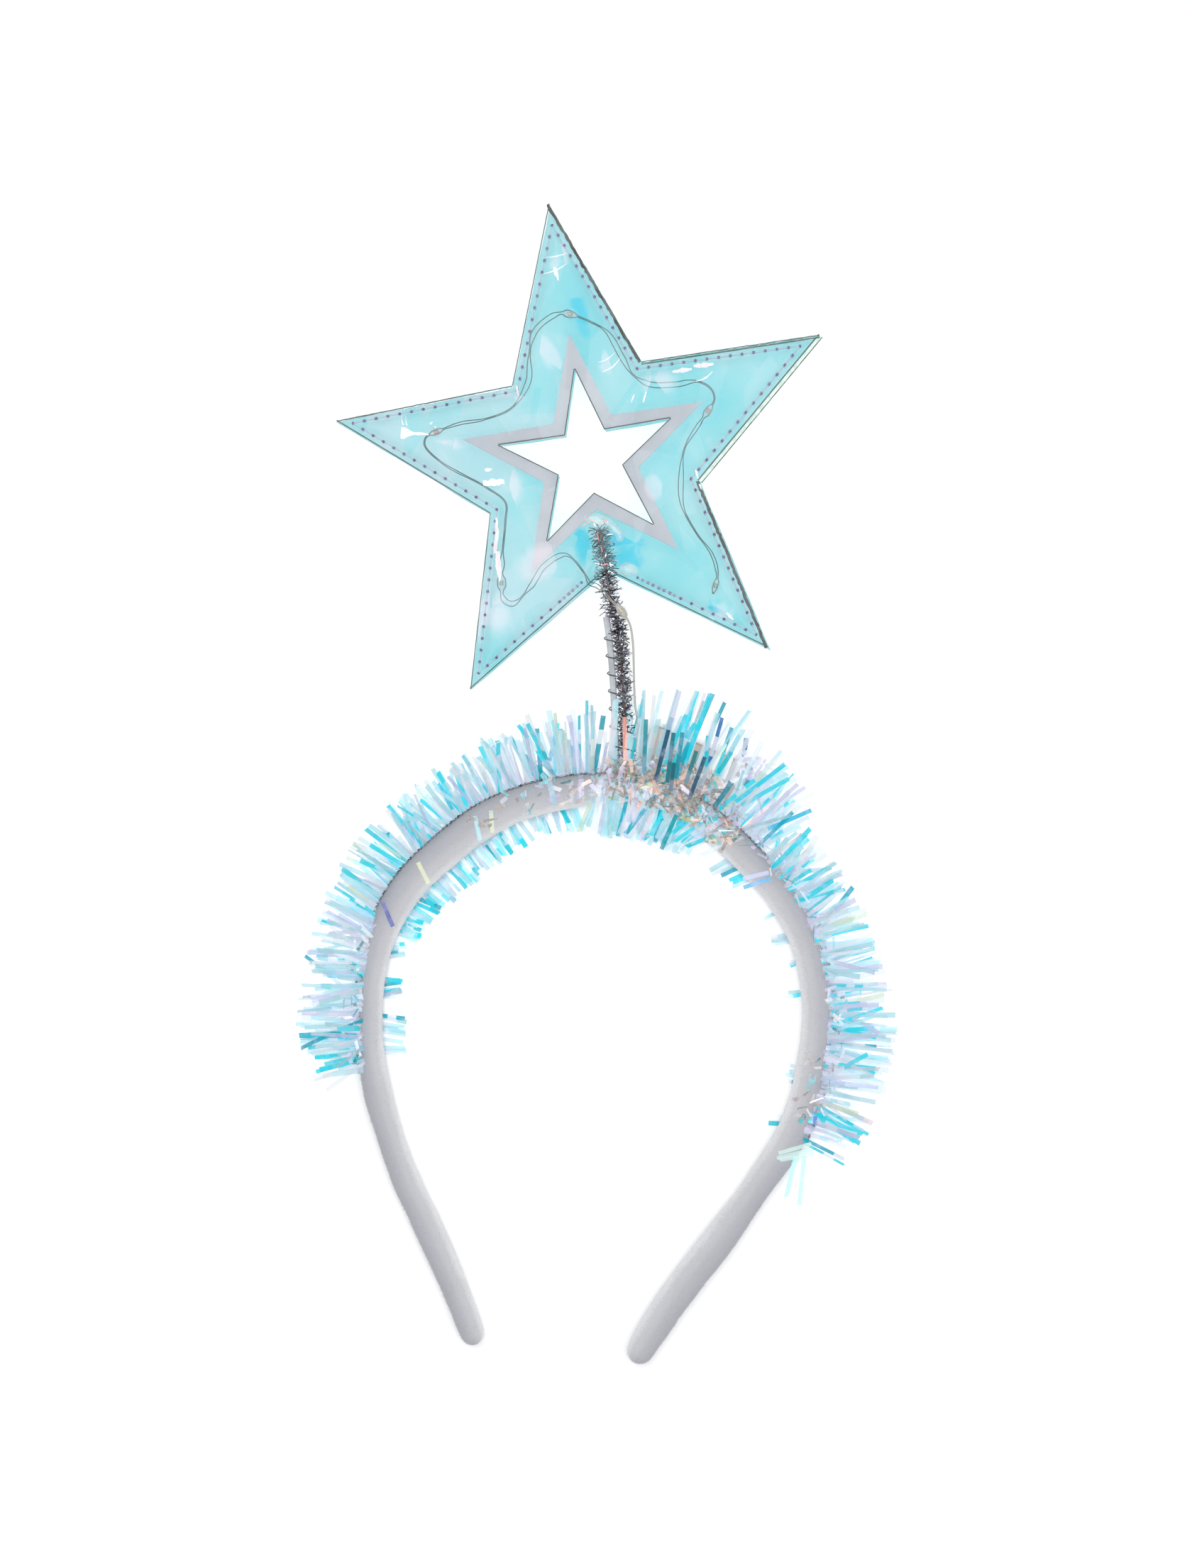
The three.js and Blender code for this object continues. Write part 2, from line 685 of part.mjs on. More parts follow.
function batteryBox() {
  const halfLength = BOX_LENGTH / 2 - BOX_BEVEL;
  const halfHeight = BOX_HEIGHT / 2 - BOX_BEVEL;
  const r = BOX_CORNER - BOX_BEVEL;
  const shape = new THREE.Shape();
  shape.moveTo(-halfLength + r, -halfHeight);
  shape.lineTo(halfLength - r, -halfHeight);
  shape.absarc(halfLength - r, -halfHeight + r, r, -Math.PI / 2, 0, false);
  shape.absarc(halfLength - r, halfHeight - r, r, 0, Math.PI / 2, false);
  shape.absarc(-halfLength + r, halfHeight - r, r, Math.PI / 2, Math.PI, false);
  shape.absarc(-halfLength + r, -halfHeight + r, r, Math.PI, 1.5 * Math.PI, false);
  const geometry = new THREE.ExtrudeGeometry(shape, {
    depth: BOX_DEPTH - 2 * BOX_BEVEL,
    bevelThickness: BOX_BEVEL,
    bevelSize: BOX_BEVEL,
    bevelSegments: 1,
    curveSegments: 3,
  });
  geometry.translate(0, 0, BOX_BEVEL - BOX_DEPTH / 2);
  return geometry;
}

// The garland: a core strand on the shoulder of the band, with flat locks of film strips

function coreAt(share) {
  const { point, tangent, out, half } = bandAt(share);
  const a = GARLAND_SIDE_ANGLE;
  const surface = vector(Math.cos(a) * half, Math.sin(a) * (BAND_DEPTH / 2), 0);
  const normal = vector(Math.cos(a) / half, Math.sin(a) / (BAND_DEPTH / 2), 0).normalize();
  surface.addScaledVector(normal, GAP + GARLAND_CORE_RADIUS);
  point.addScaledVector(out, surface.x);
  point.z += surface.y;
  return { point, tangent, out };
}

// One flat lock: leaves the core at an angle above the surface and sways along the band
function lock(place, angle, sway, length) {
  const { point, tangent, out } = place;
  const direction = out.clone().multiplyScalar(Math.cos(angle))
    .add(vector(0, 0, Math.sin(angle)))
    .addScaledVector(tangent, sway)
    .normalize();
  const across = tangent.clone().addScaledVector(direction, -tangent.dot(direction)).normalize();
  const normal = direction.clone().cross(across);
  const end = (distance, width) => {
    const middle = point.clone().addScaledVector(direction, distance);
    return [[-1, -1], [1, -1], [1, 1], [-1, 1]].map(([i, j]) => middle.clone()
      .addScaledVector(across, (i * width) / 2)
      .addScaledVector(normal, (j * LOCK_THICKNESS) / 2));
  };
  return loft([end(0, LOCK_ROOT_WIDTH), end(length, LOCK_TIP_WIDTH)]);
}

// One lock that goes over the front of the band and hangs past its inner edge
function innerLock(share, place) {
  const { point, out, half } = bandAt(share);
  const crestZ = BAND_MIDDLE_Z + BAND_DEPTH / 2 + GAP + LOCK_THICKNESS;
  const crest = point.clone().addScaledVector(out, half * INNER_CREST_SHARE).setZ(crestZ);
  const tip = point.clone()
    .addScaledVector(out, -(half + INNER_REACH))
    .setZ(crestZ - INNER_DROP);
  const ring = (middle, width) => [[-1, -1], [1, -1], [1, 1], [-1, 1]].map(([i, j]) => middle
    .clone()
    .addScaledVector(place.tangent, (i * width) / 2)
    .add(vector(0, 0, (j * LOCK_THICKNESS) / 2)));
  return loft([
    ring(place.point, LOCK_ROOT_WIDTH),
    ring(crest, (LOCK_ROOT_WIDTH + LOCK_TIP_WIDTH) / 2),
    ring(tip, LOCK_TIP_WIDTH),
  ]);
}

// Fans of locks: degrees above the surface, with the share of the full length
const LOCK_FANS = [
  { degrees: -20, reach: 0.94, overBox: false },
  { degrees: 14, reach: 1, overBox: false },
  { degrees: 34, reach: 0.96, overBox: true },
  { degrees: 66, reach: 0.8, overBox: true },
];

function garland() {
  const span = (GARLAND_END - GARLAND_START) * bandLength;
  const stations = Math.round(span / LOCK_PITCH);
  const corePoints = [];
  const pieces = [];
  const clearOfStem = (COIL_RADIUS + LOCK_TIP_WIDTH / 2 + GAP) / bandLength;
  const boxReach = (BOX_LENGTH / 2 + LOCK_TIP_WIDTH) / bandLength;
  for (let i = 0; i <= stations; i += 1) {
    const share = THREE.MathUtils.lerp(GARLAND_START, GARLAND_END, i / stations);
    const place = coreAt(share);
    corePoints.push(place.point);
    if (Math.abs(share - STEM_SEAT) < clearOfStem) {
      continue;
    }
    const overBox = Math.abs(share - BOX_SEAT) < boxReach;
    LOCK_FANS.forEach((fan, k) => {
      if ((overBox && !fan.overBox) || (i + k) % 2 === 1) {
        return;
      }
      const seed = i * LOCK_FANS.length + k;
      const sway = (scatter(seed) - 0.5) * LOCK_SWAY_SHARE;
      const degrees = fan.degrees + (scatter(seed + 0.4) - 0.5) * LOCK_SCATTER_DEGREES;
      const longer = (scatter(seed + 0.7) - 0.5) * LOCK_SCATTER_SHARE;
      const length = LOCK_LENGTH * fan.reach * (1 + longer);
      pieces.push(lock(place, THREE.MathUtils.degToRad(degrees), sway, length));
    });
    if (share > INNER_FRINGE_START && share < INNER_FRINGE_END) {
      pieces.push(innerLock(share, place));
    }
  }
  const core = tube(corePoints, () => GARLAND_CORE_RADIUS, 6);
  return fuse([core, ...pieces]);
}

// The light string: one tube for the wire pair that swells into each drop

function stringPath() {
  const marks = [];
  const boxEnd = boxMiddle.clone()
    .addScaledVector(boxSeat.tangent, -(BOX_LENGTH / 2 + GAP + WIRE_PAIR_RADIUS / 2));
  const boxLead = boxEnd.clone().addScaledVector(boxSeat.tangent, -STRING_LEAD);
  marks.push({ point: boxEnd });
  marks.push({ point: boxLead });
  STEM_ROUTE.forEach((row) => {
    const { point, tangent, right } = stemAt(row.height);
    const up = right.clone().cross(tangent).normalize();
    const body = row.height < COIL_SHARE + 0.02 ? COIL_RADIUS + COIL_WIRE_RADIUS : TINSEL_RADIUS;
    const thickness = row.lamp ? DROP_RADIUS : WIRE_PAIR_RADIUS;
    const distance = body + GAP + thickness + row.spare;
    const a = THREE.MathUtils.degToRad(row.angle);
    point.addScaledVector(right, Math.cos(a) * distance);
    point.addScaledVector(up, Math.sin(a) * distance);
    marks.push({ point, lamp: row.lamp });
  });
  STAR_ROUTE.forEach((row) => {
    const place = vector(row.across, row.up, 0).multiplyScalar(STAR_TIP_RADIUS);
    marks.push({ point: starCentre.clone().add(place), lamp: row.lamp });
  });
  return marks;
}

function lightString() {
  const marks = stringPath();
  const points = marks.map((mark) => mark.point);
  const curve = new THREE.CatmullRomCurve3(points, false, 'centripetal');
  curve.arcLengthDivisions = 40 * points.length;
  const length = curve.getLength();
  const lengths = curve.getLengths();
  const lamps = [];
  marks.forEach((mark, i) => {
    if (mark.lamp) {
      const at = Math.round((i / (marks.length - 1)) * curve.arcLengthDivisions);
      lamps.push(Math.min(lengths[at], length - DROP_HALF_LENGTH));
    }
  });
  const stations = [0];
  for (let s = STRING_STEP; s < length; s += STRING_STEP) {
    if (lamps.every((lamp) => Math.abs(s - lamp) > DROP_HALF_LENGTH + 1)) {
      stations.push(s);
    }
  }
  lamps.forEach((lamp) => {
    [-1, -0.75, -0.3, 0.3, 0.75, 1].forEach((share) => {
      stations.push(lamp + share * DROP_HALF_LENGTH);
    });
  });
  stations.sort((a, b) => a - b);
  const radii = stations.map((s) => {
    let radius = WIRE_PAIR_RADIUS;
    lamps.forEach((lamp) => {
      const t = Math.abs(s - lamp) / DROP_HALF_LENGTH;
      if (t < 1) {
        radius = Math.max(radius, DROP_RADIUS * Math.sqrt(1 - t * t));
      }
    });
    return radius;
  });
  const path = stations.map((s) => curve.getPointAt(Math.min(s / length, 1)));
  return tube(path, (i) => radii[i], 6);
}

// Materials by piece

function finish(colour, roughness, metalness = 0) {
  return new THREE.MeshStandardMaterial({ color: colour, roughness, metalness });
}

const clearFilm = finish(0xa9e4ef, 0.15);
const clothMaterial = finish(0xe9ecf0, 0.95);
const frameMaterial = finish(0xbebfc6, 0.6);
const tinselFilm = finish(0xbfe3ee, 0.2);
const silverTinsel = finish(0x8f959c, 0.3, 0.9);
const steel = finish(0x9a9ca0, 0.3, 1);
const paleTube = finish(0xc6c9cd, 0.5);
const wireMaterial = finish(0x5b5048, 0.4, 0.6);
const glueMaterial = finish(0xe8e2d8, 0.3);
const boxMaterial = finish(0xb8b2a8, 0.5);

function mesh(name, geometry, material) {
  const object = new THREE.Mesh(geometry, material);
  object.name = name;
  return object;
}

// The star's own group sits at the star's centre; everything else is already in place

const model = new THREE.Group();
const star = new THREE.Group();
star.position.copy(starCentre);
star.add(mesh('star_front_film', starFilm(1), clearFilm));
star.add(mesh('star_back_film', starFilm(-1), clearFilm));
star.add(mesh('window_frame', windowFrame(), frameMaterial));
star.add(mesh('glue_under_window', glueTop(), glueMaterial));
star.add(mesh('glue_at_notch', glueNotch(), glueMaterial));

const box = mesh('battery_box', batteryBox(), boxMaterial);
box.position.copy(boxMiddle);
box.rotation.z = boxTurn;

const assembly = new THREE.Group();
assembly.add(mesh('headband', headband(), clothMaterial));
assembly.add(mesh('tinsel_garland', garland(), tinselFilm));
assembly.add(mesh('stem_tinsel', stemTinsel(), silverTinsel));
assembly.add(mesh('stem_tube', stemTube(), paleTube));
assembly.add(mesh('stem_coil', stemCoil(), steel));
assembly.add(mesh('light_string', lightString(), wireMaterial));
assembly.add(box);
assembly.add(star);

// Origin at the middle of the underside
assembly.updateMatrixWorld(true);
const bounds = new THREE.Box3().setFromObject(assembly, true);
assembly.position.set(
  -(bounds.min.x + bounds.max.x) / 2,
  -(bounds.min.y + bounds.max.y) / 2,
  -bounds.min.z,
);
model.add(assembly);

export default model;
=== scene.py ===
"""A light-up star headband, lying on its side on a pale floor. Metres, +X right, +Y towards the
star, +Z up."""

import math

import bpy
import numpy as np
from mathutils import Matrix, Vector, noise
from mathutils.bvhtree import BVHTree


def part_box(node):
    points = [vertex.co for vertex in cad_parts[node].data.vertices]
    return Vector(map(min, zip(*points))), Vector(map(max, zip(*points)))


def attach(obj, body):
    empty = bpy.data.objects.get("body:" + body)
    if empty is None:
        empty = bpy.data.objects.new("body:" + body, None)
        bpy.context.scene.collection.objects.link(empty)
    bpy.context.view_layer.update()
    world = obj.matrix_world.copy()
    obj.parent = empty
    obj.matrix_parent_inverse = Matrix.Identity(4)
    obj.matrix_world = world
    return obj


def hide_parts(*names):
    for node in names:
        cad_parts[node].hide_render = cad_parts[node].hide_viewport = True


MM = 0.001
Z_UP = np.array([0.0, 0.0, 1.0])

# Camera and light
CAMERA_HEIGHT = 1.232
CAMERA_SIDE = 0.0005
LENS = 100
SENSOR = 36
FLOOR_SIZE = 6

# Padded band
BAND_TOP = Vector((0.022, -1.469, 4.25)) * MM
BAND_HALF_WIDTH = 63.2 * MM
BAND_DROP = 160.6 * MM
BAND_THICKNESS = 9.6 * MM
BAND_DEPTH = 9.4 * MM
PILE_FIBRES = 16000
FIBRE_ROOT_DEPTH = 0.2 * MM

# Garland along the outer ridge of the band
GARLAND_START = 0.197
GARLAND_END = 0.817
CORE_ANGLE = math.radians(36)
CORE_CLEARANCE = 0.9 * MM
STRIP_WIDTH = 1.25 * MM
STRIP_THINNING = 0.55
LONGEST_STRIP = 31 * MM
LONGEST_RAISED_STRIP = 17 * MM
CORE_TWISTS = 95
CORE_WIRE_RADIUS = 0.17 * MM
CORE_WIRE_SWING = 0.2 * MM
BOX_STRIP_HEIGHT = 13.0
BAND_STRIP_HEIGHT = 9.4
BOX_STRIP_RISE = 0.42

# Stem
STEM_SEAT = 0.5035
STEM_SEAT_RISE = 5.5 * MM
STEM_HEIGHT = 56.8 * MM
STEM_LEAN = -4.8 * MM
POCKET_DEPTH = 11.5 * MM
COIL_RADIUS = 3.2 * MM
COIL_WIRE_RADIUS = 0.2 * MM
COIL_PITCH = 5 * MM
COIL_SHARE = 0.71
TINSEL_RADIUS = 2.6 * MM
STEM_HAIR_COUNT = 2000
STEM_CORE_RADIUS = 0.35 * MM
BESIDE_TUBE = 1.05 * MM

# Star
STAR_TURN = math.radians(8.9)
STAR_TIP_RADIUS = 72.9 * MM
STAR_NOTCH_RADIUS = 31.4 * MM
HOLE_TIP_RADIUS = 25.8 * MM
HOLE_NOTCH_RADIUS = 9.5 * MM
FILM_THICKNESS = 0.45 * MM
BACK_SLIP_LEFT = Vector((0.05, -0.25, 0)) * MM
BACK_SLIP_RIGHT = Vector((0.85, -0.75, 0)) * MM
STITCH_PITCH = 3.4 * MM
STITCH_LENGTH = 3.1 * MM
THREAD_RADIUS = 0.12 * MM
NEEDLE_HOLE_RADIUS = 0.4 * MM
SEAM_GAP_LEFT = 8.8 * MM
SEAM_GAP_RIGHT = 11.6 * MM
SEWN_BACK = 2.2 * STITCH_PITCH
SEWN_BACK_SHIFT = 0.45 * STITCH_PITCH
SEAM_INWARD = 0.117
SEAM_FLATNESS = 0.09

# Fairy lights
LIGHT_WIRE_RADIUS = 0.13 * MM
DROP_RADIUS = 1.15 * MM
DROP_HALF_LENGTH = 2.4 * MM
BODY_GAP = 0.3 * MM
LEAD_FROM_BOX = 2.6 * MM
LEAD_ABOVE_MIDDLE = 3.2 * MM
WIRE_TWISTS = 31

# Lines along the cut edges: side of the star from the top tip anticlockwise, or None for the
# whole window, then inset and width in mm, raggedness in mm, colour
RIM_COLUMNS = ("side", "inset", "width", "ragged", "colour")
DARK_GREEN = (0.02, 0.06, 0.05)
BROWN = (0.025, 0.016, 0.008)
SEA_GREEN = (0.10, 0.36, 0.34)
PALE_GREEN = (0.66, 0.82, 0.74)
RIM_ROWS = [
    (0, 0.0, 0.28, 0.0, DARK_GREEN),
    (1, 0.0, 0.34, 0.03, DARK_GREEN),
    (2, 0.0, 0.32, 0.0, DARK_GREEN),
    (3, 0.0, 0.26, 0.0, DARK_GREEN),
    (4, 0.0, 0.32, 0.0, DARK_GREEN),
    (5, 0.0, 0.32, 0.0, DARK_GREEN),
    (6, 0.0, 0.86, 0.07, BROWN),
    (7, -1.05, 1.05, 0.0, PALE_GREEN),
    (7, -1.2, 0.28, 0.0, BROWN),
    (7, 0.0, 0.38, 0.0, DARK_GREEN),
    (8, 0.0, 0.28, 0.05, DARK_GREEN),
    (8, 0.28, 0.30, 0.04, SEA_GREEN),
    (8, 0.58, 0.36, 0.0, DARK_GREEN),
    (9, 0.0, 0.86, 0.07, BROWN),
    (None, 0.0, 0.26, 0.0, BROWN),
]

# How the star's cut corners differ from a regular star's, from the top tip anticlockwise: degrees
# turned, a share of the tip or notch radius, and the seam's share of the way to the window. The
# window is regular.
CORNER_COLUMNS = ("turn", "reach", "seam")
CORNER_ROWS = [
    (0.0, 1.0, 0.128),
    (1.2, 0.955, 0.105),
    (0.4, 0.986, 0.1),
    (1.8, 1.011, 0.1),
    (-0.2, 0.998, 0.105),
    (0.0, 1.0, 0.1),
    (-1.3, 1.003, 0.1),
    (-1.8, 1.003, 0.1),
    (1.5, 1.013, 0.128),
    (-1.0, 0.995, 0.105),
]

# Centre line of the band, left tip to right tip: shares of the half width, of the drop and of
# the thickness
BAND_COLUMNS = ("across", "drop", "thick")
BAND_ROWS = [
    (-0.545, 0.955, 0.70),
    (-0.595, 0.902, 0.78),
    (-0.674, 0.828, 0.82),
    (-0.760, 0.753, 0.87),
    (-0.846, 0.680, 0.83),
    (-0.915, 0.604, 0.79),
    (-0.968, 0.530, 0.84),
    (-0.998, 0.455, 0.80),
    (-1.003, 0.386, 0.79),
    (-0.985, 0.306, 0.84),
    (-0.935, 0.241, 0.92),
    (-0.823, 0.167, 1.03),
    (-0.658, 0.104, 1.08),
    (-0.481, 0.052, 1.08),
    (-0.307, 0.022, 1.04),
    (-0.142, 0.006, 1.00),
    (0.028, 0.000, 0.98),
    (0.206, 0.008, 1.00),
    (0.405, 0.035, 1.00),
    (0.563, 0.076, 0.97),
    (0.718, 0.135, 0.92),
    (0.838, 0.190, 0.93),
    (0.924, 0.248, 0.96),
    (0.975, 0.306, 0.98),
    (0.997, 0.366, 1.00),
    (0.997, 0.424, 1.01),
    (0.976, 0.486, 0.99),
    (0.936, 0.552, 0.98),
    (0.873, 0.611, 0.97),
    (0.710, 0.706, 0.84),
    (0.576, 0.780, 0.97),
    (0.380, 0.880, 0.97),
    (0.258, 0.950, 0.92),
    (0.205, 0.985, 0.80),
]

# How far the garland reaches outwards from the band's centre line, in mm, and how many strips
# leave each mm of its core
GARLAND_COLUMNS = ("share", "reach", "density")
GARLAND_ROWS = [
    (0.197, 13.0, 3.5),
    (0.205, 17.0, 5.5),
    (0.230, 19.5, 6.5),
    (0.270, 17.5, 6.0),
    (0.310, 18.0, 6.0),
    (0.340, 20.0, 6.5),
    (0.370, 19.0, 6.5),
    (0.410, 18.5, 6.5),
    (0.440, 20.5, 6.5),
    (0.470, 22.0, 6.5),
    (0.490, 24.0, 6.0),
    (0.515, 29.0, 5.0),
    (0.530, 31.0, 3.8),
    (0.550, 31.5, 3.8),
    (0.570, 27.0, 5.0),
    (0.590, 24.0, 6.0),
    (0.610, 19.5, 6.0),
    (0.640, 17.5, 6.0),
    (0.670, 17.5, 6.5),
    (0.700, 18.5, 6.5),
    (0.740, 21.0, 7.0),
    (0.770, 20.0, 6.5),
    (0.790, 17.5, 6.0),
    (0.817, 15.5, 4.0),
]

# Tufts that come out from behind the inner edge of the band: stretch of the band, reach from
# its centre line in mm, strips, and lean along the band
TUFT_COLUMNS = ("start", "end", "reach", "strips", "lean")
TUFT_ROWS = [
    (0.206, 0.236, 10.6, 12, -0.15),
    (0.246, 0.262, 8.9, 9, 0.1),
    (0.278, 0.292, 8.4, 5, 0.35),
    (0.294, 0.316, 10.3, 14, 0.15),
    (0.316, 0.346, 11.4, 18, 0.1),
    (0.346, 0.400, 12.5, 37, 0.05),
    (0.400, 0.424, 12.0, 13, 0.1),
    (0.430, 0.437, 9.6, 4, 0.2),
    (0.440, 0.470, 11.4, 21, 0.15),
    (0.597, 0.607, 11.0, 6, -0.35),
    (0.612, 0.619, 9.2, 3, -0.4),
    (0.646, 0.650, 7.6, 2, -0.2),
    (0.668, 0.676, 9.4, 5, -0.25),
    (0.689, 0.692, 6.8, 2, 0.0),
    (0.711, 0.714, 9.2, 2, 0.0),
    (0.768, 0.780, 6.8, 4, 0.1),
    (0.806, 0.812, 7.2, 3, 0.3),
]

# Strips that lie over the front of the band and hang past its inner edge
DRAPE_COLUMNS = ("start", "end", "reach", "strips", "lean")
DRAPE_ROWS = [
    (0.452, 0.486, 3.5, 6, -0.05),
    (0.487, 0.520, 13.2, 78, -0.05),
    (0.520, 0.548, 12.8, 56, -0.1),
    (0.548, 0.572, 12.0, 34, -0.25),
    (0.572, 0.596, 9.0, 6, -0.4),
]

# Colours of the iridescent strips, and how common each is
TINT_COLUMNS = ("colour", "share", "share_over_box", "share_behind_band")
TINTS = [
    ((0.42, 0.76, 0.82), 0.34, 0.36, 0.52),
    ((0.78, 0.85, 0.88), 0.27, 0.30, 0.14),
    ((0.03, 0.68, 0.80), 0.14, 0.10, 0.28),
    ((0.56, 0.56, 0.78), 0.10, 0.07, 0.03),
    ((0.84, 0.66, 0.72), 0.03, 0.06, 0.00),
    ((0.62, 0.76, 0.52), 0.02, 0.02, 0.01),
    ((0.00, 0.38, 0.50), 0.025, 0.12, 0.03),
    ((0.00, 0.16, 0.42), 0.004, 0.04, 0.00),
]

# Single strips that stand in front of the battery box and the stem or lie over the band: places
# in mm, length, degrees turned from upright to the right, colour
FRONT_STRIP_COLUMNS = ("x", "y", "length", "lean", "colour")
FRONT_STRIPS = [
    (13.9, 3.0, 15.0, 2, (0.00, 0.26, 0.32)),
    (17.2, 1.0, 14.5, 14, (0.00, 0.07, 0.13)),
    (20.4, 0.4, 14.0, 7, (0.00, 0.15, 0.19)),
    (21.4, -2.0, 8.0, 6, (0.00, 0.10, 0.14)),
    (22.8, 1.5, 13.0, 8, (0.00, 0.26, 0.34)),
    (25.6, 0.2, 9.5, 18, (0.00, 0.18, 0.20)),
    (26.6, -4.2, 12.5, 20, (0.00, 0.07, 0.13)),
    (31.2, 5.0, 8.5, 4, (0.00, 0.50, 0.62)),
    (34.6, 3.0, 7.0, 32, (0.00, 0.46, 0.52)),
    (39.6, -5.0, 17.0, 52, (0.01, 0.56, 0.70)),
    (41.2, -6.0, 15.0, 60, (0.03, 0.60, 0.72)),
    (48.6, -12.6, 13.0, 66, (0.01, 0.46, 0.70)),
    (23.0, -8.6, -10.5, 24, (0.00, 0.30, 0.34)),
    (-12.6, 6.5, 8.0, 14, (0.00, 0.30, 0.50)),
    (-49.5, -22.0, 6.7, 153, (0.70, 0.78, 0.40)),
    (-59.5, -33.0, 7.6, 157, (0.06, 0.08, 0.34)),
    (-33.5, -9.0, 7.0, 168, (0.42, 0.76, 0.82)),
    (-29.0, -7.5, 6.2, 176, (0.70, 0.78, 0.52)),
    (49.5, -26.6, 8.0, -108, (0.05, 0.35, 0.65)),
    (49.0, -24.8, 7.5, -104, (0.50, 0.54, 0.80)),
    (61.0, -101.0, 9.6, -106, (0.62, 0.84, 0.74)),
    (61.5, -102.5, 10.5, -104, (0.56, 0.82, 0.78)),
    (61.8, -103.8, 9.8, -100, (0.62, 0.84, 0.74)),
    (59.0, -104.4, 13.9, 186, (0.36, 0.74, 0.84)),
    (56.5, -104.5, 11.8, 193, (0.30, 0.78, 0.84)),
    (62.1, -93.2, 2.4, 185, (0.00, 0.12, 0.50)),
    (57.4, -94.2, 1.3, 120, (0.00, 0.40, 0.45)),
    (64.3, -79.0, 1.4, 110, (0.00, 0.42, 0.50)),
    (8.7, 6.6, 12.2, -1, (0.92, 0.26, 0.16)),
]

# Crumpled bits of film round the core: stretch of the band, distances outwards from its centre
# line in mm, how many, the share of them that is beige or amber, and their size
SCRAP_COLUMNS = ("start", "end", "inner", "outer", "count", "warm", "size")
SCRAP_ROWS = [
    (0.395, 0.455, -3.0, 5.0, 26, 0.35, 1.0),
    (0.455, 0.492, -3.0, 6.0, 40, 0.45, 1.0),
    (0.492, 0.520, -3.0, 9.0, 230, 0.75, 1.0),
    (0.520, 0.560, -3.0, 13.0, 620, 0.82, 1.0),
    (0.560, 0.590, -4.0, 9.0, 140, 0.66, 1.0),
    (0.590, 0.640, 1.0, 8.0, 22, 0.10, 1.0),
    (0.640, 0.755, 2.5, 7.5, 90, 0.04, 1.0),
    (0.755, 0.800, -3.0, 6.0, 46, 0.45, 1.0),
    (0.205, 0.300, 3.0, 7.5, 80, 0.04, 1.0),
    (0.564, 0.594, 12.0, 23.5, 34, 0.0, 2.3),
]
WARM_TINTS = [
    (0.30, 0.26, 0.23),
    (0.47, 0.39, 0.35),
    (0.80, 0.36, 0.18),
    (0.90, 0.60, 0.50),
    (0.50, 0.55, 0.22),
]
WARM_SHARES = (0.46, 0.30, 0.05, 0.16, 0.03)
COOL_TINTS = [(0.84, 0.86, 0.90), (0.62, 0.58, 0.80), (0.00, 0.22, 0.24), (0.30, 0.68, 0.74)]
COOL_SHARES = (0.4, 0.2, 0.15, 0.25)

# Stem axis: shares of its height and of its lean
STEM_COLUMNS = ("up", "lean")
STEM_ROWS = [(0, 0), (0.3, 0.14), (0.5, 0.26), (0.68, 0.46), (0.8, 0.68), (1, 1)]

# Lights round the stem: share of its height, degrees from its right side to its front, added
# clearance in mm, and whether a drop sits there
STEM_LIGHT_COLUMNS = ("height", "angle", "spare", "lamp")
STEM_LIGHT_ROWS = [
    (0.2, 0, 0.35, False),
    (0.33, 0, 0.05, False),
    (0.44, 0, 0.05, False),
    (0.53, 0, 0.3, False),
    (0.63, 5, 0.6, False),
    (0.717, 20, 0.6, False),
    (0.785, 52, 0.35, True),
    (0.86, 96, 0.05, False),
    (0.925, 150, 0.3, False),
]

# Lights inside the star, from the notch to the last drop: shares of the star's tip radius from
# its centre, and whether a drop sits there
STAR_LIGHT_COLUMNS = ("across", "up", "lamp")
STAR_LIGHT_ROWS = [
    (0.004, -0.478, False),
    (-0.019, -0.436, False),
    (-0.088, -0.368, False),
    (-0.170, -0.409, False),
    (-0.225, -0.491, False),
    (-0.294, -0.557, False),
    (-0.329, -0.540, False),
    (-0.337, -0.477, True),
    (-0.335, -0.381, False),
    (-0.322, -0.235, False),
    (-0.322, -0.166, False),
    (-0.400, -0.105, False),
    (-0.565, -0.014, False),
    (-0.634, 0.055, False),
    (-0.628, 0.088, False),
    (-0.590, 0.107, True),
    (-0.497, 0.140, False),
    (-0.403, 0.156, False),
    (-0.297, 0.201, False),
    (-0.233, 0.305, False),
    (-0.230, 0.395, False),
    (-0.211, 0.491, False),
    (-0.156, 0.546, False),
    (-0.110, 0.566, False),
    (-0.071, 0.562, True),
    (0.008, 0.532, False),
    (0.069, 0.495, False),
    (0.129, 0.395, False),
    (0.170, 0.329, False),
    (0.239, 0.291, False),
    (0.335, 0.291, False),
    (0.422, 0.302, False),
    (0.472, 0.274, False),
    (0.486, 0.233, False),
    (0.461, 0.189, True),
    (0.417, 0.123, False),
    (0.370, 0.041, False),
    (0.357, -0.069, False),
    (0.362, -0.178, False),
    (0.417, -0.285, False),
    (0.477, -0.368, False),
    (0.497, -0.450, False),
    (0.480, -0.519, True),
]


# Curves and small helpers


def unit(vectors):
    return vectors / np.linalg.norm(vectors, axis=-1, keepdims=True)


def smooth(share):
    t = np.clip(share, 0, 1)
    return t * t * (3 - 2 * t)


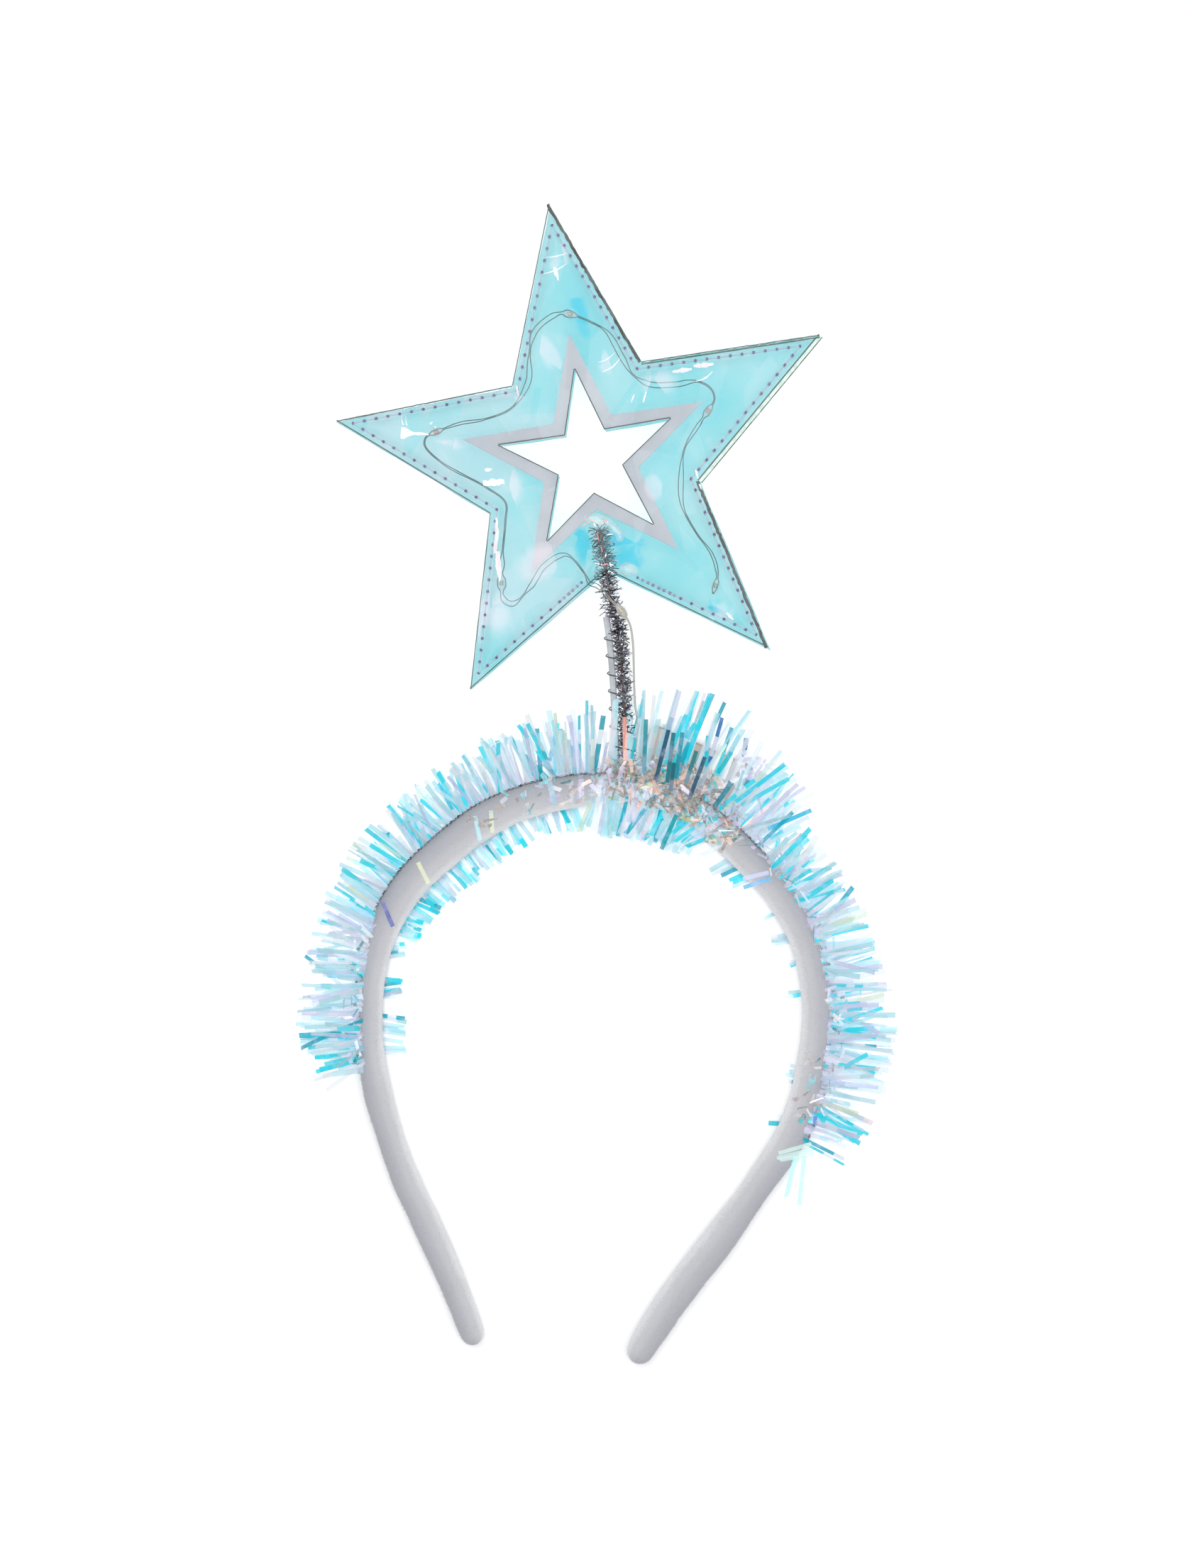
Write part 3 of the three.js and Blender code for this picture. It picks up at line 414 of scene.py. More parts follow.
class Route:
    """A smooth curve through control points, read by its share of the whole length"""

    STEPS = 24

    def __init__(self, controls):
        controls = np.array(controls, float)
        before = 2 * controls[0] - controls[1]
        after = 2 * controls[-1] - controls[-2]
        p = np.vstack([before, controls, after])
        runs = [self.run(*p[i : i + 4]) for i in range(len(p) - 3)]
        self.dense = np.vstack([*runs, controls[-1]])
        steps = np.linalg.norm(np.diff(self.dense, axis=0), axis=1)
        lengths = np.concatenate([[0], np.cumsum(steps)])
        self.length = lengths[-1]
        self.shares = lengths / self.length
        self.control_shares = self.shares[:: self.STEPS]

    def run(self, p0, p1, p2, p3):
        t1 = math.sqrt(np.linalg.norm(p1 - p0))
        t2 = t1 + math.sqrt(np.linalg.norm(p2 - p1))
        t3 = t2 + math.sqrt(np.linalg.norm(p3 - p2))
        t = np.linspace(t1, t2, self.STEPS, endpoint=False)[:, None]
        a1 = ((t1 - t) * p0 + t * p1) / t1
        a2 = ((t2 - t) * p1 + (t - t1) * p2) / (t2 - t1)
        a3 = ((t3 - t) * p2 + (t - t2) * p3) / (t3 - t2)
        b1 = ((t2 - t) * a1 + t * a2) / t2
        b2 = ((t3 - t) * a2 + (t - t1) * a3) / (t3 - t1)
        return ((t2 - t) * b1 + (t - t1) * b2) / (t2 - t1)

    def at(self, share):
        return np.stack([np.interp(share, self.shares, self.dense[:, k]) for k in range(3)], axis=-1)

    def along(self, share):
        reach = 0.002
        return unit(self.at(np.add(share, reach)) - self.at(np.subtract(share, reach)))


def new_object(name, points, faces, *materials, smooth_shading=True):
    """A mesh piece that rides on the object's only body"""
    data = bpy.data.meshes.new(name)
    data.from_pydata([tuple(p) for p in points], [], [tuple(f) for f in faces])
    if smooth_shading:
        data.shade_smooth()
    for material in materials:
        data.materials.append(material)
    piece = bpy.data.objects.new(name, data)
    bpy.context.scene.collection.objects.link(piece)
    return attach(piece, "root")


def settle(piece, node=None):
    """A thin or clear piece, which casts no shadow; the solid that it stands for, if any, is
    hidden"""
    piece.visible_shadow = False
    if node:
        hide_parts(node)


def add_values(piece, name, values):
    """One number for each point of a mesh, for its material to read"""
    layer = piece.data.attributes.new(name, "FLOAT", "POINT")
    layer.data.foreach_set("value", np.asarray(values, np.float32))


def add_tints(piece, colours, domain="POINT"):
    """A colour for each point or face corner of a mesh"""
    colours = np.clip(colours, 0, 1)
    colours = np.concatenate([colours, np.ones((len(colours), 1))], axis=1)
    layer = piece.data.attributes.new("tint", "FLOAT_COLOR", domain)
    layer.data.foreach_set("color", colours.astype(np.float32).ravel())


def grid_faces(rows, columns, closed=True, start=0):
    """Quads over a grid of points that is closed along its columns or open"""
    i = np.arange(rows - 1)[:, None] * columns
    j = np.arange(columns if closed else columns - 1)[None, :]
    after = (j + 1) % columns
    quads = np.stack([i + j, i + after, i + columns + after, i + columns + j], axis=-1)
    return (quads.reshape(-1, 4) + start).tolist()


def tube_grid(centres, radii, sides, flatness=1.0):
    """Rings of points round a line of centres"""
    centres = np.array(centres, float)
    tangents = unit(np.gradient(centres, axis=0))
    helper = np.array([0.0, 0.0, 1.0])
    flat = np.abs(tangents @ helper) > 0.95
    helpers = np.where(flat[:, None], [[1.0, 0.0, 0.0]], helper)
    side = unit(np.cross(helpers, tangents))
    up = np.cross(tangents, side)
    angles = np.arange(sides) / sides * 2 * math.pi
    radii = np.broadcast_to(radii, len(centres))[:, None, None]
    ring = np.cos(angles)[None, :, None] * side[:, None, :]
    ring = ring + flatness * np.sin(angles)[None, :, None] * up[:, None, :]
    return centres[:, None, :] + radii * ring


def tube_mesh(tubes, sides, flatness=1.0):
    """Points and faces of several closed tubes; each is a list of centres with its radii"""
    points = []
    faces = []
    for centres, radii in tubes:
        start = len(points)
        grid = tube_grid(centres, radii, sides, flatness)
        points.extend(grid.reshape(-1, 3))
        faces.extend(grid_faces(len(grid), sides, start=start))
        faces.append([start + j for j in reversed(range(sides))])
        last = start + (len(grid) - 1) * sides
        faces.append([last + j for j in range(sides)])
    return points, faces


# Node helpers


def new_material(name, colour=(0.8, 0.8, 0.8), roughness=0.5, metallic=0.0, alpha=1.0):
    material = bpy.data.materials.new(name)
    material.use_nodes = True
    shader = material.node_tree.nodes["Principled BSDF"]
    shader.inputs["Base Color"].default_value = (*colour, 1)
    shader.inputs["Roughness"].default_value = roughness
    shader.inputs["Metallic"].default_value = metallic
    shader.inputs["Alpha"].default_value = alpha
    return material, shader


class Graph:
    """Makes and joins the nodes of one material"""

    def __init__(self, material):
        self.material = material
        self.tree = material.node_tree
        self.shader = self.tree.nodes["Principled BSDF"]
        self.place = self.add("ShaderNodeTexCoord").outputs["Object"]

    def add(self, kind, **settings):
        node = self.tree.nodes.new(kind)
        for key, value in settings.items():
            setattr(node, key, value)
        return node

    def put(self, socket, value):
        if isinstance(value, bpy.types.NodeSocket):
            self.tree.links.new(value, socket)
        else:
            socket.default_value = value

    def noise(self, scale, detail=2.0, distortion=0.0):
        """Noise between 0 and 1, at so many features a metre"""
        node = self.add("ShaderNodeTexNoise")
        self.put(node.inputs["Vector"], self.place)
        node.inputs["Scale"].default_value = scale
        node.inputs["Detail"].default_value = detail
        node.inputs["Distortion"].default_value = distortion
        return node.outputs["Fac"]

    def facets(self, scale, turn=0.0, squeeze=1.0):
        """Straight-edged patches at so many a metre, each with its own value between 0 and 1"""
        mapping = self.add("ShaderNodeMapping")
        self.put(mapping.inputs["Vector"], self.place)
        mapping.inputs["Rotation"].default_value = (0, 0, math.radians(turn))
        mapping.inputs["Scale"].default_value = (scale * squeeze, scale, 0)
        node = self.add("ShaderNodeTexVoronoi")
        self.put(node.inputs["Vector"], mapping.outputs["Vector"])
        node.inputs["Scale"].default_value = 1.0
        parts = self.add("ShaderNodeSeparateColor")
        self.put(parts.inputs["Color"], node.outputs["Color"])
        return parts.outputs["Red"]

    def ramp(self, value, *stops):
        """A colour read from (position, colour) stops"""
        node = self.add("ShaderNodeValToRGB")
        self.put(node.inputs["Fac"], value)
        elements = node.color_ramp.elements
        while len(elements) < len(stops):
            elements.new(1.0)
        for element, (position, colour) in zip(elements, stops):
            element.position = position
            element.color = (*colour, 1)
        return node.outputs["Color"]

    def spread(self, value, low, high, bottom=0.0, top=1.0):
        """value between low and high, mapped to bottom and top and held there"""
        node = self.add("ShaderNodeMapRange")
        self.put(node.inputs["Value"], value)
        node.inputs["From Min"].default_value = low
        node.inputs["From Max"].default_value = high
        node.inputs["To Min"].default_value = bottom
        node.inputs["To Max"].default_value = top
        return node.outputs["Result"]

    def maths(self, operation, first, second):
        node = self.add("ShaderNodeMath", operation=operation)
        self.put(node.inputs[0], first)
        self.put(node.inputs[1], second)
        return node.outputs["Value"]

    def mix(self, share, first, second):
        node = self.add("ShaderNodeMix", data_type="RGBA")
        self.put(node.inputs["Factor"], share)
        for socket, value in ((node.inputs[6], first), (node.inputs[7], second)):
            if isinstance(value, tuple):
                value = (*value, 1)
            self.put(socket, value)
        return node.outputs[2]

    def attribute(self, name):
        node = self.add("ShaderNodeAttribute", attribute_name=name)
        return node.outputs

    def bump(self, value, depth, strength=1.0):
        node = self.add("ShaderNodeBump")
        node.inputs["Distance"].default_value = depth
        node.inputs["Strength"].default_value = strength
        self.put(node.inputs["Height"], value)
        self.put(self.shader.inputs["Normal"], node.outputs["Normal"])

    def colour(self, value):
        self.put(self.shader.inputs["Base Color"], value)

    def spot(self, x, y, radius, squeeze=1.0, turn=0.0):
        """A soft round or oval patch, 1 at its middle and 0 at its rim; mm"""
        mapping = self.add("ShaderNodeMapping", vector_type="TEXTURE")
        self.put(mapping.inputs["Vector"], self.place)
        mapping.inputs["Location"].default_value = (x * MM, y * MM, 0)
        mapping.inputs["Rotation"].default_value = (0, 0, math.radians(turn))
        mapping.inputs["Scale"].default_value = (radius * MM * squeeze, radius * MM, 1)
        length = self.add("ShaderNodeVectorMath", operation="LENGTH")
        self.put(length.inputs[0], mapping.outputs["Vector"])
        return self.spread(length.outputs["Value"], 1.0, 0.0)


def mottled(name, scale, stops, detail=2.0, **finish):
    """The graph of a material that wanders between close colours"""
    material, _ = new_material(name, **finish)
    graph = Graph(material)
    graph.colour(graph.ramp(graph.noise(scale, detail), *stops))
    return graph


# Materials


def fleece_material():
    material, shader = new_material("white_fleece", roughness=0.95)
    shader.inputs["Sheen Weight"].default_value = 0.25
    shader.inputs["Specular IOR Level"].default_value = 0.15
    graph = Graph(material)
    pile = graph.noise(1500, detail=3)
    patches = graph.noise(90, detail=2)
    outward = graph.attribute("outward")["Fac"]
    uneven = graph.maths("ADD", pile, patches)
    grain = graph.maths("MULTIPLY", graph.maths("SUBTRACT", uneven, 1.0), 0.14)
    # Painted shade: the fleece is darker towards its outer side, where the garland lies over it and
    # casts no shadow, and palest at its inner edge; the grain is added on top
    shade = graph.maths("ADD", graph.spread(outward, 0.95, -0.95), grain)
    graph.colour(graph.ramp(
        shade,
        (0.0, (0.40, 0.40, 0.44)),
        (0.45, (0.42, 0.42, 0.45)),
        (0.8, (0.53, 0.53, 0.55)),
        (1.0, (0.76, 0.76, 0.78)),
    ))
    graph.bump(uneven, 0.35 * MM, 0.6)
    return material


# Creases of the film that catch the light, drawn as painted highlights: where each starts, its length,
# its width at the start, middle and end, degrees turned from the right, and how far its middle bows out;
# mm. Those of
# GLUE_GLINTS are coloured painted highlights at the top of the stem, on its glue.
GLINT_COLUMNS = ("x", "y", "length", "start", "middle", "end", "turn", "bow")
GLINTS = [
    (-54.4, 98.9, 7.8, 4.0, 0.9, 0.6, -4, 0.0),
    (-53.7, 101.0, 3.2, 0.5, 0.25, 0.15, 100, 0.2),
    (-52.7, 101.0, 2.6, 0.4, 0.25, 0.15, 97, 0.2),
    (-46.2, 101.3, 0.9, 0.6, 0.5, 0.3, 40, 0.0),
    (-45.0, 100.6, 0.6, 0.3, 0.3, 0.2, -30, 0.0),
    (-11.2, 145.4, 3.9, 1.0, 1.3, 0.2, -73, 0.0),
    (-13.7, 148.3, 6.0, 0.15, 0.4, 0.2, 11, -0.4),
    (-14.8, 143.6, 7.5, 0.15, 0.5, 0.2, 22, -0.6),
    (-31.3, 84.6, 6.0, 1.5, 2.2, 1.4, 4, 0.0),
    (-30.7, 88.3, 1.9, 0.9, 1.1, 0.5, 10, 0.0),
    (-27.6, 75.0, 10.0, 0.5, 1.5, 1.1, -92, 0.3),
    (-27.2, 65.5, 8.5, 1.2, 1.7, 0.4, -86, 0.0),
    (22.0, 116.0, 5.5, 0.5, 1.6, 0.6, 8, 0.0),
    (28.0, 117.6, 5.6, 0.8, 1.8, 0.7, 6, 0.0),
    (28.6, 113.3, 5.4, 0.2, 0.45, 0.3, 30, -0.5),
    (28.6, 88.5, 2.6, 0.5, 0.7, 0.2, -75, 0.0),
    (29.6, 84.5, 1.6, 0.4, 0.5, 0.2, -70, 0.0),
    (14.6, 110.4, 3.2, 0.4, 0.7, 0.2, -105, 0.0),
    (11.2, 109.6, 2.4, 0.2, 0.45, 0.1, -110, 0.0),
    (2.2, 116.0, 6.6, 0.15, 0.4, 0.1, 38, -0.7),
    (1.0, 118.6, 5.5, 0.1, 0.3, 0.1, 30, -0.5),
    (37.2, 48.2, 2.8, 0.5, 1.0, 0.2, -45, 0.0),
    (-21.9, 112.2, 3.0, 0.3, 0.8, 0.3, -80, 0.0),
]

GLUE_GLINTS = [
    (-3.4, 72.6, 2.6, 0.2, 0.7, 0.2, 28, 0.2),
    (-1.6, 74.6, 2.2, 0.5, 0.8, 0.4, -12, 0.0),
    (0.6, 73.2, 1.8, 0.3, 0.6, 0.2, 5, 0.0),
    (2.4, 74.6, 1.7, 0.3, 0.7, 0.3, -35, 0.0),
    (0.9, 70.4, 2.0, 0.2, 0.5, 0.2, -80, 0.0),
    (1.9, 66.8, 1.6, 0.2, 0.4, 0.2, -75, 0.0),
    (2.1, 61.4, 1.8, 0.2, 0.5, 0.2, 20, 0.0),
]

# Broad pale patches of the film, which are painted reflections of the light, and its most saturated
# ones; places in mm
SPOT_COLUMNS = ("x", "y", "radius", "squeeze", "turn")
PAINTED_SHEEN_SPOTS = [
    (-13.2, 119.2, 11.0, 0.45, 28),
    (-25.0, 109.6, 4.5, 2.2, 12),
    (-41.7, 96.2, 3.0, 2.9, -8),
    (-25.0, 83.5, 8.0, 0.9, 20),
    (-27.0, 47.0, 10.0, 0.8, -25),
    (35.8, 48.7, 6.0, 0.8, 25),
    (18.4, 113.0, 6.0, 1.4, 10),
    (2.8, 119.2, 6.0, 0.6, 35),
    (16.7, 83.5, 5.0, 0.7, 10),
    (-11.2, 146.0, 9.0, 0.5, -10),
    (-16.0, 62.0, 7.0, 1.6, 20),
]
CYAN_SPOTS = [
    (8.6, 65.5, 9.0, 0.8, -15),
    (-3.2, 66.5, 6.5, 0.5, 8),
    (35.0, 51.5, 4.0, 1.0, 0),
    (-4.0, 133.0, 9.0, 0.35, 15),
]
LILAC_SPOTS = [(-36.0, 97.0, 28.0, 1.3, 10), (-27.0, 50.0, 32.0, 0.9, -20)]


def spots_mask(graph, spots, raggedness, low, high):
    """Patches whose rims follow the film's flat facets"""
    patches = None
    for row in spots:
        patch = graph.spot(*row)
        patches = patch if patches is None else graph.maths("MAXIMUM", patches, patch)
    centred = graph.maths("SUBTRACT", raggedness, 0.5)
    ragged = graph.maths("MULTIPLY", centred, graph.spread(patches, 0.0, 0.2))
    return graph.spread(graph.maths("ADD", patches, ragged), low, high)


def front_film_material():
    """Nearly clear film: faint cyan; its pale pinkish facets, patches and crease lines are painted
    reflections of the light
    """
    material, shader = new_material("front_film", roughness=0.4, alpha=0.1)
    shader.inputs["Specular IOR Level"].default_value = 0.25
    graph = Graph(material)
    # Painted reflections: pale pinkish patches, faint pale facets and crease lines, where the film is
    # also less clear
    painted_sheen = spots_mask(graph, PAINTED_SHEEN_SPOTS, graph.facets(85, -30, 1.8), 0.3, 0.75)
    faint = graph.spread(graph.facets(60, 20, 1.6), 0.55, 0.75, 0.0, 0.3)
    creases = graph.spread(graph.noise(75, detail=4, distortion=2.0), 0.62, 0.66, 0.0, 0.35)
    pale = graph.maths("MAXIMUM", graph.maths("MAXIMUM", painted_sheen, faint), creases)
    graph.colour(graph.mix(pale, (0.52, 0.76, 0.80), (0.84, 0.79, 0.84)))
    graph.put(shader.inputs["Alpha"], graph.spread(pale, 0.0, 1.0, 0.05, 0.24))
    graph.bump(graph.noise(140, detail=3, distortion=0.8), 0.5 * MM, 0.5)
    return material


def back_film_material():
    """The film that gives the star its cyan"""
    material, shader = new_material("back_film", roughness=0.5, alpha=0.5)
    shader.inputs["Specular IOR Level"].default_value = 0.15
    graph = Graph(material)
    cyan = graph.ramp(
        graph.noise(42, detail=3, distortion=0.8),
        (0.34, (0.04, 0.50, 0.56)),
        (0.50, (0.10, 0.52, 0.57)),
        (0.64, (0.19, 0.54, 0.58)),
    )
    lilac = spots_mask(graph, LILAC_SPOTS, graph.facets(70, 35, 1.5), 0.1, 0.6)
    cyan = graph.mix(graph.maths("MULTIPLY", lilac, 0.5), cyan, (0.42, 0.54, 0.59))
    vivid = spots_mask(graph, CYAN_SPOTS, graph.facets(230, 28, 0.5), 0.2, 0.7)
    graph.colour(graph.mix(vivid, cyan, (0.0, 0.52, 0.66)))
    graph.put(shader.inputs["Alpha"], graph.spread(vivid, 0.0, 1.0, 0.5, 0.74))
    graph.bump(graph.noise(110, detail=3, distortion=0.8), 0.5 * MM, 0.4)
    return material


def cut_edge_material():
    stops = (0.35, (0.04, 0.08, 0.08)), (0.65, (0.10, 0.15, 0.14))
    return mottled("film_cut_edge", 120, stops, roughness=0.5).material


def glint_material(name, dim, painted_glint):
    return mottled(name, 260, [(0.4, dim), (0.6, painted_glint)], roughness=0.4, alpha=0.82).material


def rim_material():
    material, _ = new_material("film_rim", roughness=0.5)
    graph = Graph(material)
    tint = graph.attribute("tint")["Color"]
    patches = graph.spread(graph.noise(600), 0.45, 0.6, 0, 0.2)
    graph.colour(graph.mix(patches, tint, (0.10, 0.15, 0.13)))
    return material


def frame_sheet_material():
    stops = (0.3, (0.36, 0.37, 0.42)), (0.7, (0.46, 0.46, 0.50))
    graph = mottled("frame_sheet", 90, stops, detail=3, roughness=0.5)
    graph.bump(graph.noise(400), 0.1 * MM, 0.4)
    return graph.material


def thread_material():
    stops = (0.3, (0.46, 0.50, 0.62)), (0.7, (0.58, 0.56, 0.68))
    return mottled("sewing_thread", 700, stops, roughness=0.7).material


def needle_hole_material():
    stops = (0.3, (0.15, 0.11, 0.24)), (0.7, (0.26, 0.19, 0.34))
    return mottled("needle_holes", 500, stops, roughness=0.8).material


def strip_material():
    """Iridescent strip: tinted by piece, milkier towards its root, darker along its edges; the
    palest strips are the clearest"""
    material, shader = new_material("tinsel_film", roughness=0.16, alpha=0.74)
    shader.inputs["IOR"].default_value = 1.5
    graph = Graph(material)
    tint = graph.attribute("tint")["Color"]
    along = graph.attribute("along")["Fac"]
    across = graph.attribute("across")["Fac"]
    parts = graph.add("ShaderNodeSeparateColor")
    graph.put(parts.inputs["Color"], tint)
    pale = graph.spread(parts.outputs["Red"], 0.05, 0.6)
    milky = graph.maths("MULTIPLY", graph.spread(along, 0.0, 0.8, 0.6, 0.0), pale)
    bands = graph.spread(graph.noise(260, detail=2), 0.5, 0.64)
    shifted = graph.mix(graph.maths("MULTIPLY", bands, 0.22), tint, (0.72, 0.62, 0.86))
    body = graph.mix(milky, shifted, (0.60, 0.58, 0.72))
    from_middle = graph.maths("ABSOLUTE", graph.maths("SUBTRACT", across, 0.5), 0)
    edge = graph.spread(from_middle, 0.36, 0.5, 0, 0.25)
    graph.colour(graph.mix(edge, body, (0.06, 0.42, 0.48)))
    graph.put(shader.inputs["Alpha"], graph.spread(pale, 0.0, 1.0, 0.92, 0.62))
    graph.bump(graph.noise(350, detail=2), 0.2 * MM, 0.3)
    return material


def scrap_material():
    material, shader = new_material("film_scraps", roughness=0.12, alpha=0.7)
    shader.inputs["IOR"].default_value = 1.6
    graph = Graph(material)
    tint = graph.attribute("tint")["Color"]
    # Painted glints: pale speckles where the bits of film catch the light
    painted_glint = graph.spread(graph.noise(900), 0.5, 0.6, 0, 0.3)
    graph.colour(graph.mix(painted_glint, tint, (0.9, 0.88, 0.86)))
    return material


def core_wire_material():
    stops = (0.35, (0.03, 0.03, 0.03)), (0.65, (0.28, 0.28, 0.28))
    return mottled("core_wire", 500, stops, roughness=0.35, metallic=0.5).material


def silver_material():
    material, _ = new_material("silver_tinsel", roughness=0.28, metallic=0.9)
    graph = Graph(material)
    tint = graph.attribute("tint")["Color"]
    # Painted glints: pale speckles along the hairs
    painted_glint = graph.spread(graph.noise(900), 0.5, 0.62, 0, 0.4)
    graph.colour(graph.mix(painted_glint, tint, (0.85, 0.88, 0.93)))
    return material


def core_thread_material():
    stops = (0.35, (0.06, 0.03, 0.03)), (0.65, (0.20, 0.10, 0.09))
    return mottled("stem_core", 500, stops, roughness=0.6).material


def steel_material():
    stops = (0.35, (0.05, 0.06, 0.06)), (0.65, (0.16, 0.17, 0.18))
    return mottled("spring_steel", 300, stops, roughness=0.3, metallic=0.5).material


def pale_tube_material():
    stops = (0.35, (0.40, 0.42, 0.45)), (0.65, (0.54, 0.56, 0.59))
    return mottled("pale_tube", 200, stops, roughness=0.4).material


def light_wire_material():
    material, _ = new_material("light_wire", roughness=0.5)
    graph = Graph(material)
    dark = graph.ramp(graph.noise(250), (0.35, (0.02, 0.04, 0.04)), (0.65, (0.08, 0.09, 0.09)))
    graph.colour(graph.mix(graph.attribute("in_star")["Fac"], (0.42, 0.40, 0.36), dark))
    return material


def resin_material(name, colour, alpha):
    material, shader = new_material(name, colour, 0.06, alpha=alpha)
    shader.inputs["IOR"].default_value = 1.5
    shader.inputs["Coat Weight"].default_value = 0.5
    graph = Graph(material)
    cloudy = graph.spread(graph.noise(900), 0.4, 0.6, 0, 0.25)
    graph.colour(graph.mix(cloudy, colour, (0.85, 0.88, 0.9)))
    return material


def chip_material(name, colour):
    material, _ = new_material(name, colour, 0.4)
    graph = Graph(material)
    dull = graph.spread(graph.noise(1500), 0.4, 0.6, 0, 0.4)
    graph.colour(graph.mix(dull, colour, (0.25, 0.2, 0.12)))
    return material


def glue_material(name, colour, alpha):
    material, shader = new_material(name, colour, 0.15, alpha=alpha)
    shader.inputs["Coat Weight"].default_value = 0.6
    graph = Graph(material)
    cloudy = graph.spread(graph.noise(420, 3), 0.45, 0.6)
    graph.colour(graph.mix(cloudy, colour, (0.86, 0.82, 0.80)))
    graph.bump(graph.noise(350, 2), 0.5 * MM, 0.5)
    return material


def box_material():
    # Grey-beige: the painted shade of the garland over the white plastic box, since the strips cast no
    # shadow
    stops = (0.3, (0.33, 0.29, 0.26)), (0.7, (0.42, 0.38, 0.35))
    graph = mottled("battery_box_plastic", 70, stops, detail=3, roughness=0.5)
    graph.bump(graph.noise(1800), 0.05 * MM, 0.4)
    return graph.material


def floor_material():
    stops = (0.3, (0.93, 0.93, 0.93)), (0.7, (0.95, 0.95, 0.95))
    return mottled("pale_floor", 3, stops, roughness=0.9).material


# The band


def band_route():
    points = []
    for across, drop, _ in BAND_ROWS:
        x = BAND_TOP.x + across * BAND_HALF_WIDTH
        points.append((x, BAND_TOP.y - drop * BAND_DROP, BAND_TOP.z))
    return Route(points)


BAND = band_route()


def band_at(share):
    """Points of the centre line with the directions along it and outwards, and half thickness"""
    point = BAND.at(share)
    tangent = BAND.along(share)
    out = np.stack([-tangent[..., 1], tangent[..., 0], np.zeros_like(tangent[..., 0])], axis=-1)
    thick = np.interp(share, BAND.control_shares, [row[2] for row in BAND_ROWS])
    return point, tangent, out, thick * BAND_THICKNESS / 2


def lump(point, scale, seed):
    return noise.noise(Vector(point) * scale + Vector((seed, 0, 0)))


def fleece_band():
    stations = 300
    sides = 36
    cap = np.radians([86, 74, 61, 48, 36, 24, 12])
    share = np.concatenate([np.zeros(len(cap)), np.linspace(0, 1, stations), np.ones(len(cap))])
    push = np.concatenate([-np.sin(cap), np.zeros(stations), np.sin(cap[::-1])])
    shrink = np.concatenate([np.cos(cap), np.ones(stations), np.cos(cap[::-1])])
    point, tangent, out, half = band_at(share)
    middle = point + tangent * (push * half)[:, None]
    angle = (np.arange(sides) + 0.5) / sides * 2 * math.pi
    across = np.cos(angle)[None, :, None] * out[:, None, :] * (half * shrink)[:, None, None]
    lift = np.sin(angle)[None, :] * BAND_DEPTH / 2 * shrink[:, None]
    ring = middle[:, None, :] + across
    ring[..., 2] += lift
    normal = unit(ring - middle[:, None, :])
    points = ring.reshape(-1, 3)
    swell = [
        0.22 * lump(p, 110, 0) + 0.12 * lump(p, 320, 5) + 0.07 * lump(p, 1500, 9) - 0.1 for p in points
    ]
    points = points + normal.reshape(-1, 3) * np.array(swell)[:, None] * MM
    points[:, 2] = np.maximum(points[:, 2], 0)
    count = len(share)
    faces = grid_faces(count, sides)
    faces.append(list(reversed(range(sides))))
    faces.append([(count - 1) * sides + j for j in range(sides)])
    piece = new_object("fleece_band", points, faces, fleece_material())
    # 1 on the band's outer side, where the fleece's colour paints the garland's shade
    add_values(piece, "outward", np.tile(np.cos(angle), count))
    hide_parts("headband")


def fleece_pile():
    """Short fibres that stand out of the fleece"""
    rng = np.random.default_rng(3)
    count = PILE_FIBRES
    share = rng.uniform(0.0, 1.0, count)
    angle = rng.uniform(-0.15 * math.pi, 1.15 * math.pi, count)
    point, _, out, half = band_at(share)
    radial = np.cos(angle)[:, None] * out + np.sin(angle)[:, None] * Z_UP
    root = point + np.cos(angle)[:, None] * out * (half - FIBRE_ROOT_DEPTH)[:, None]
    root = root + np.sin(angle)[:, None] * Z_UP * (BAND_DEPTH / 2 - FIBRE_ROOT_DEPTH)
    lean = unit(radial + rng.normal(0, 0.5, (count, 3)))
    tip = root + lean * rng.uniform(0.45, 0.8, count)[:, None] * MM
    side = unit(np.cross(lean, rng.normal(0, 1, (count, 3)))) * 0.05 * MM
    points = np.stack([root - side, root + side, tip], axis=1).reshape(-1, 3)
    points[:, 2] = np.maximum(points[:, 2], 0.02 * MM)
    faces = np.arange(3 * count).reshape(-1, 3)
    piece = new_object("fleece_pile", points, faces.tolist(), bpy.data.materials["white_fleece"])
    # the pile takes the same painted shade as the band under it
    add_values(piece, "outward", np.repeat(np.cos(angle), 3))
    settle(piece)


# Strips


def strip_tints(rng, count, stretches, mix):
    """A colour for every stretch of every strip, from the column of shares that mix names; some
    stretches catch the light"""
    palette = np.array([row[0] for row in TINTS])
    shares = np.array([row[1:] for row in TINTS])
    limits = (np.cumsum(shares, axis=0) / shares.sum(axis=0))[:, mix].T
    picks = np.minimum((rng.random(count)[:, None] > limits).sum(axis=1), len(TINTS) - 1)
    tints = np.repeat(palette[picks][:, None, :], stretches, axis=1)
    lit = rng.random((count, stretches, 1)) < 0.16
    tints = np.where(lit, tints * 0.3 + np.array([0.60, 0.60, 0.62]), tints)
    tints = tints * rng.uniform(0.8, 1.08, (count, 1, 1)) * rng.uniform(0.9, 1.06, (count, stretches, 1))
    return np.clip(tints, 0, 1)


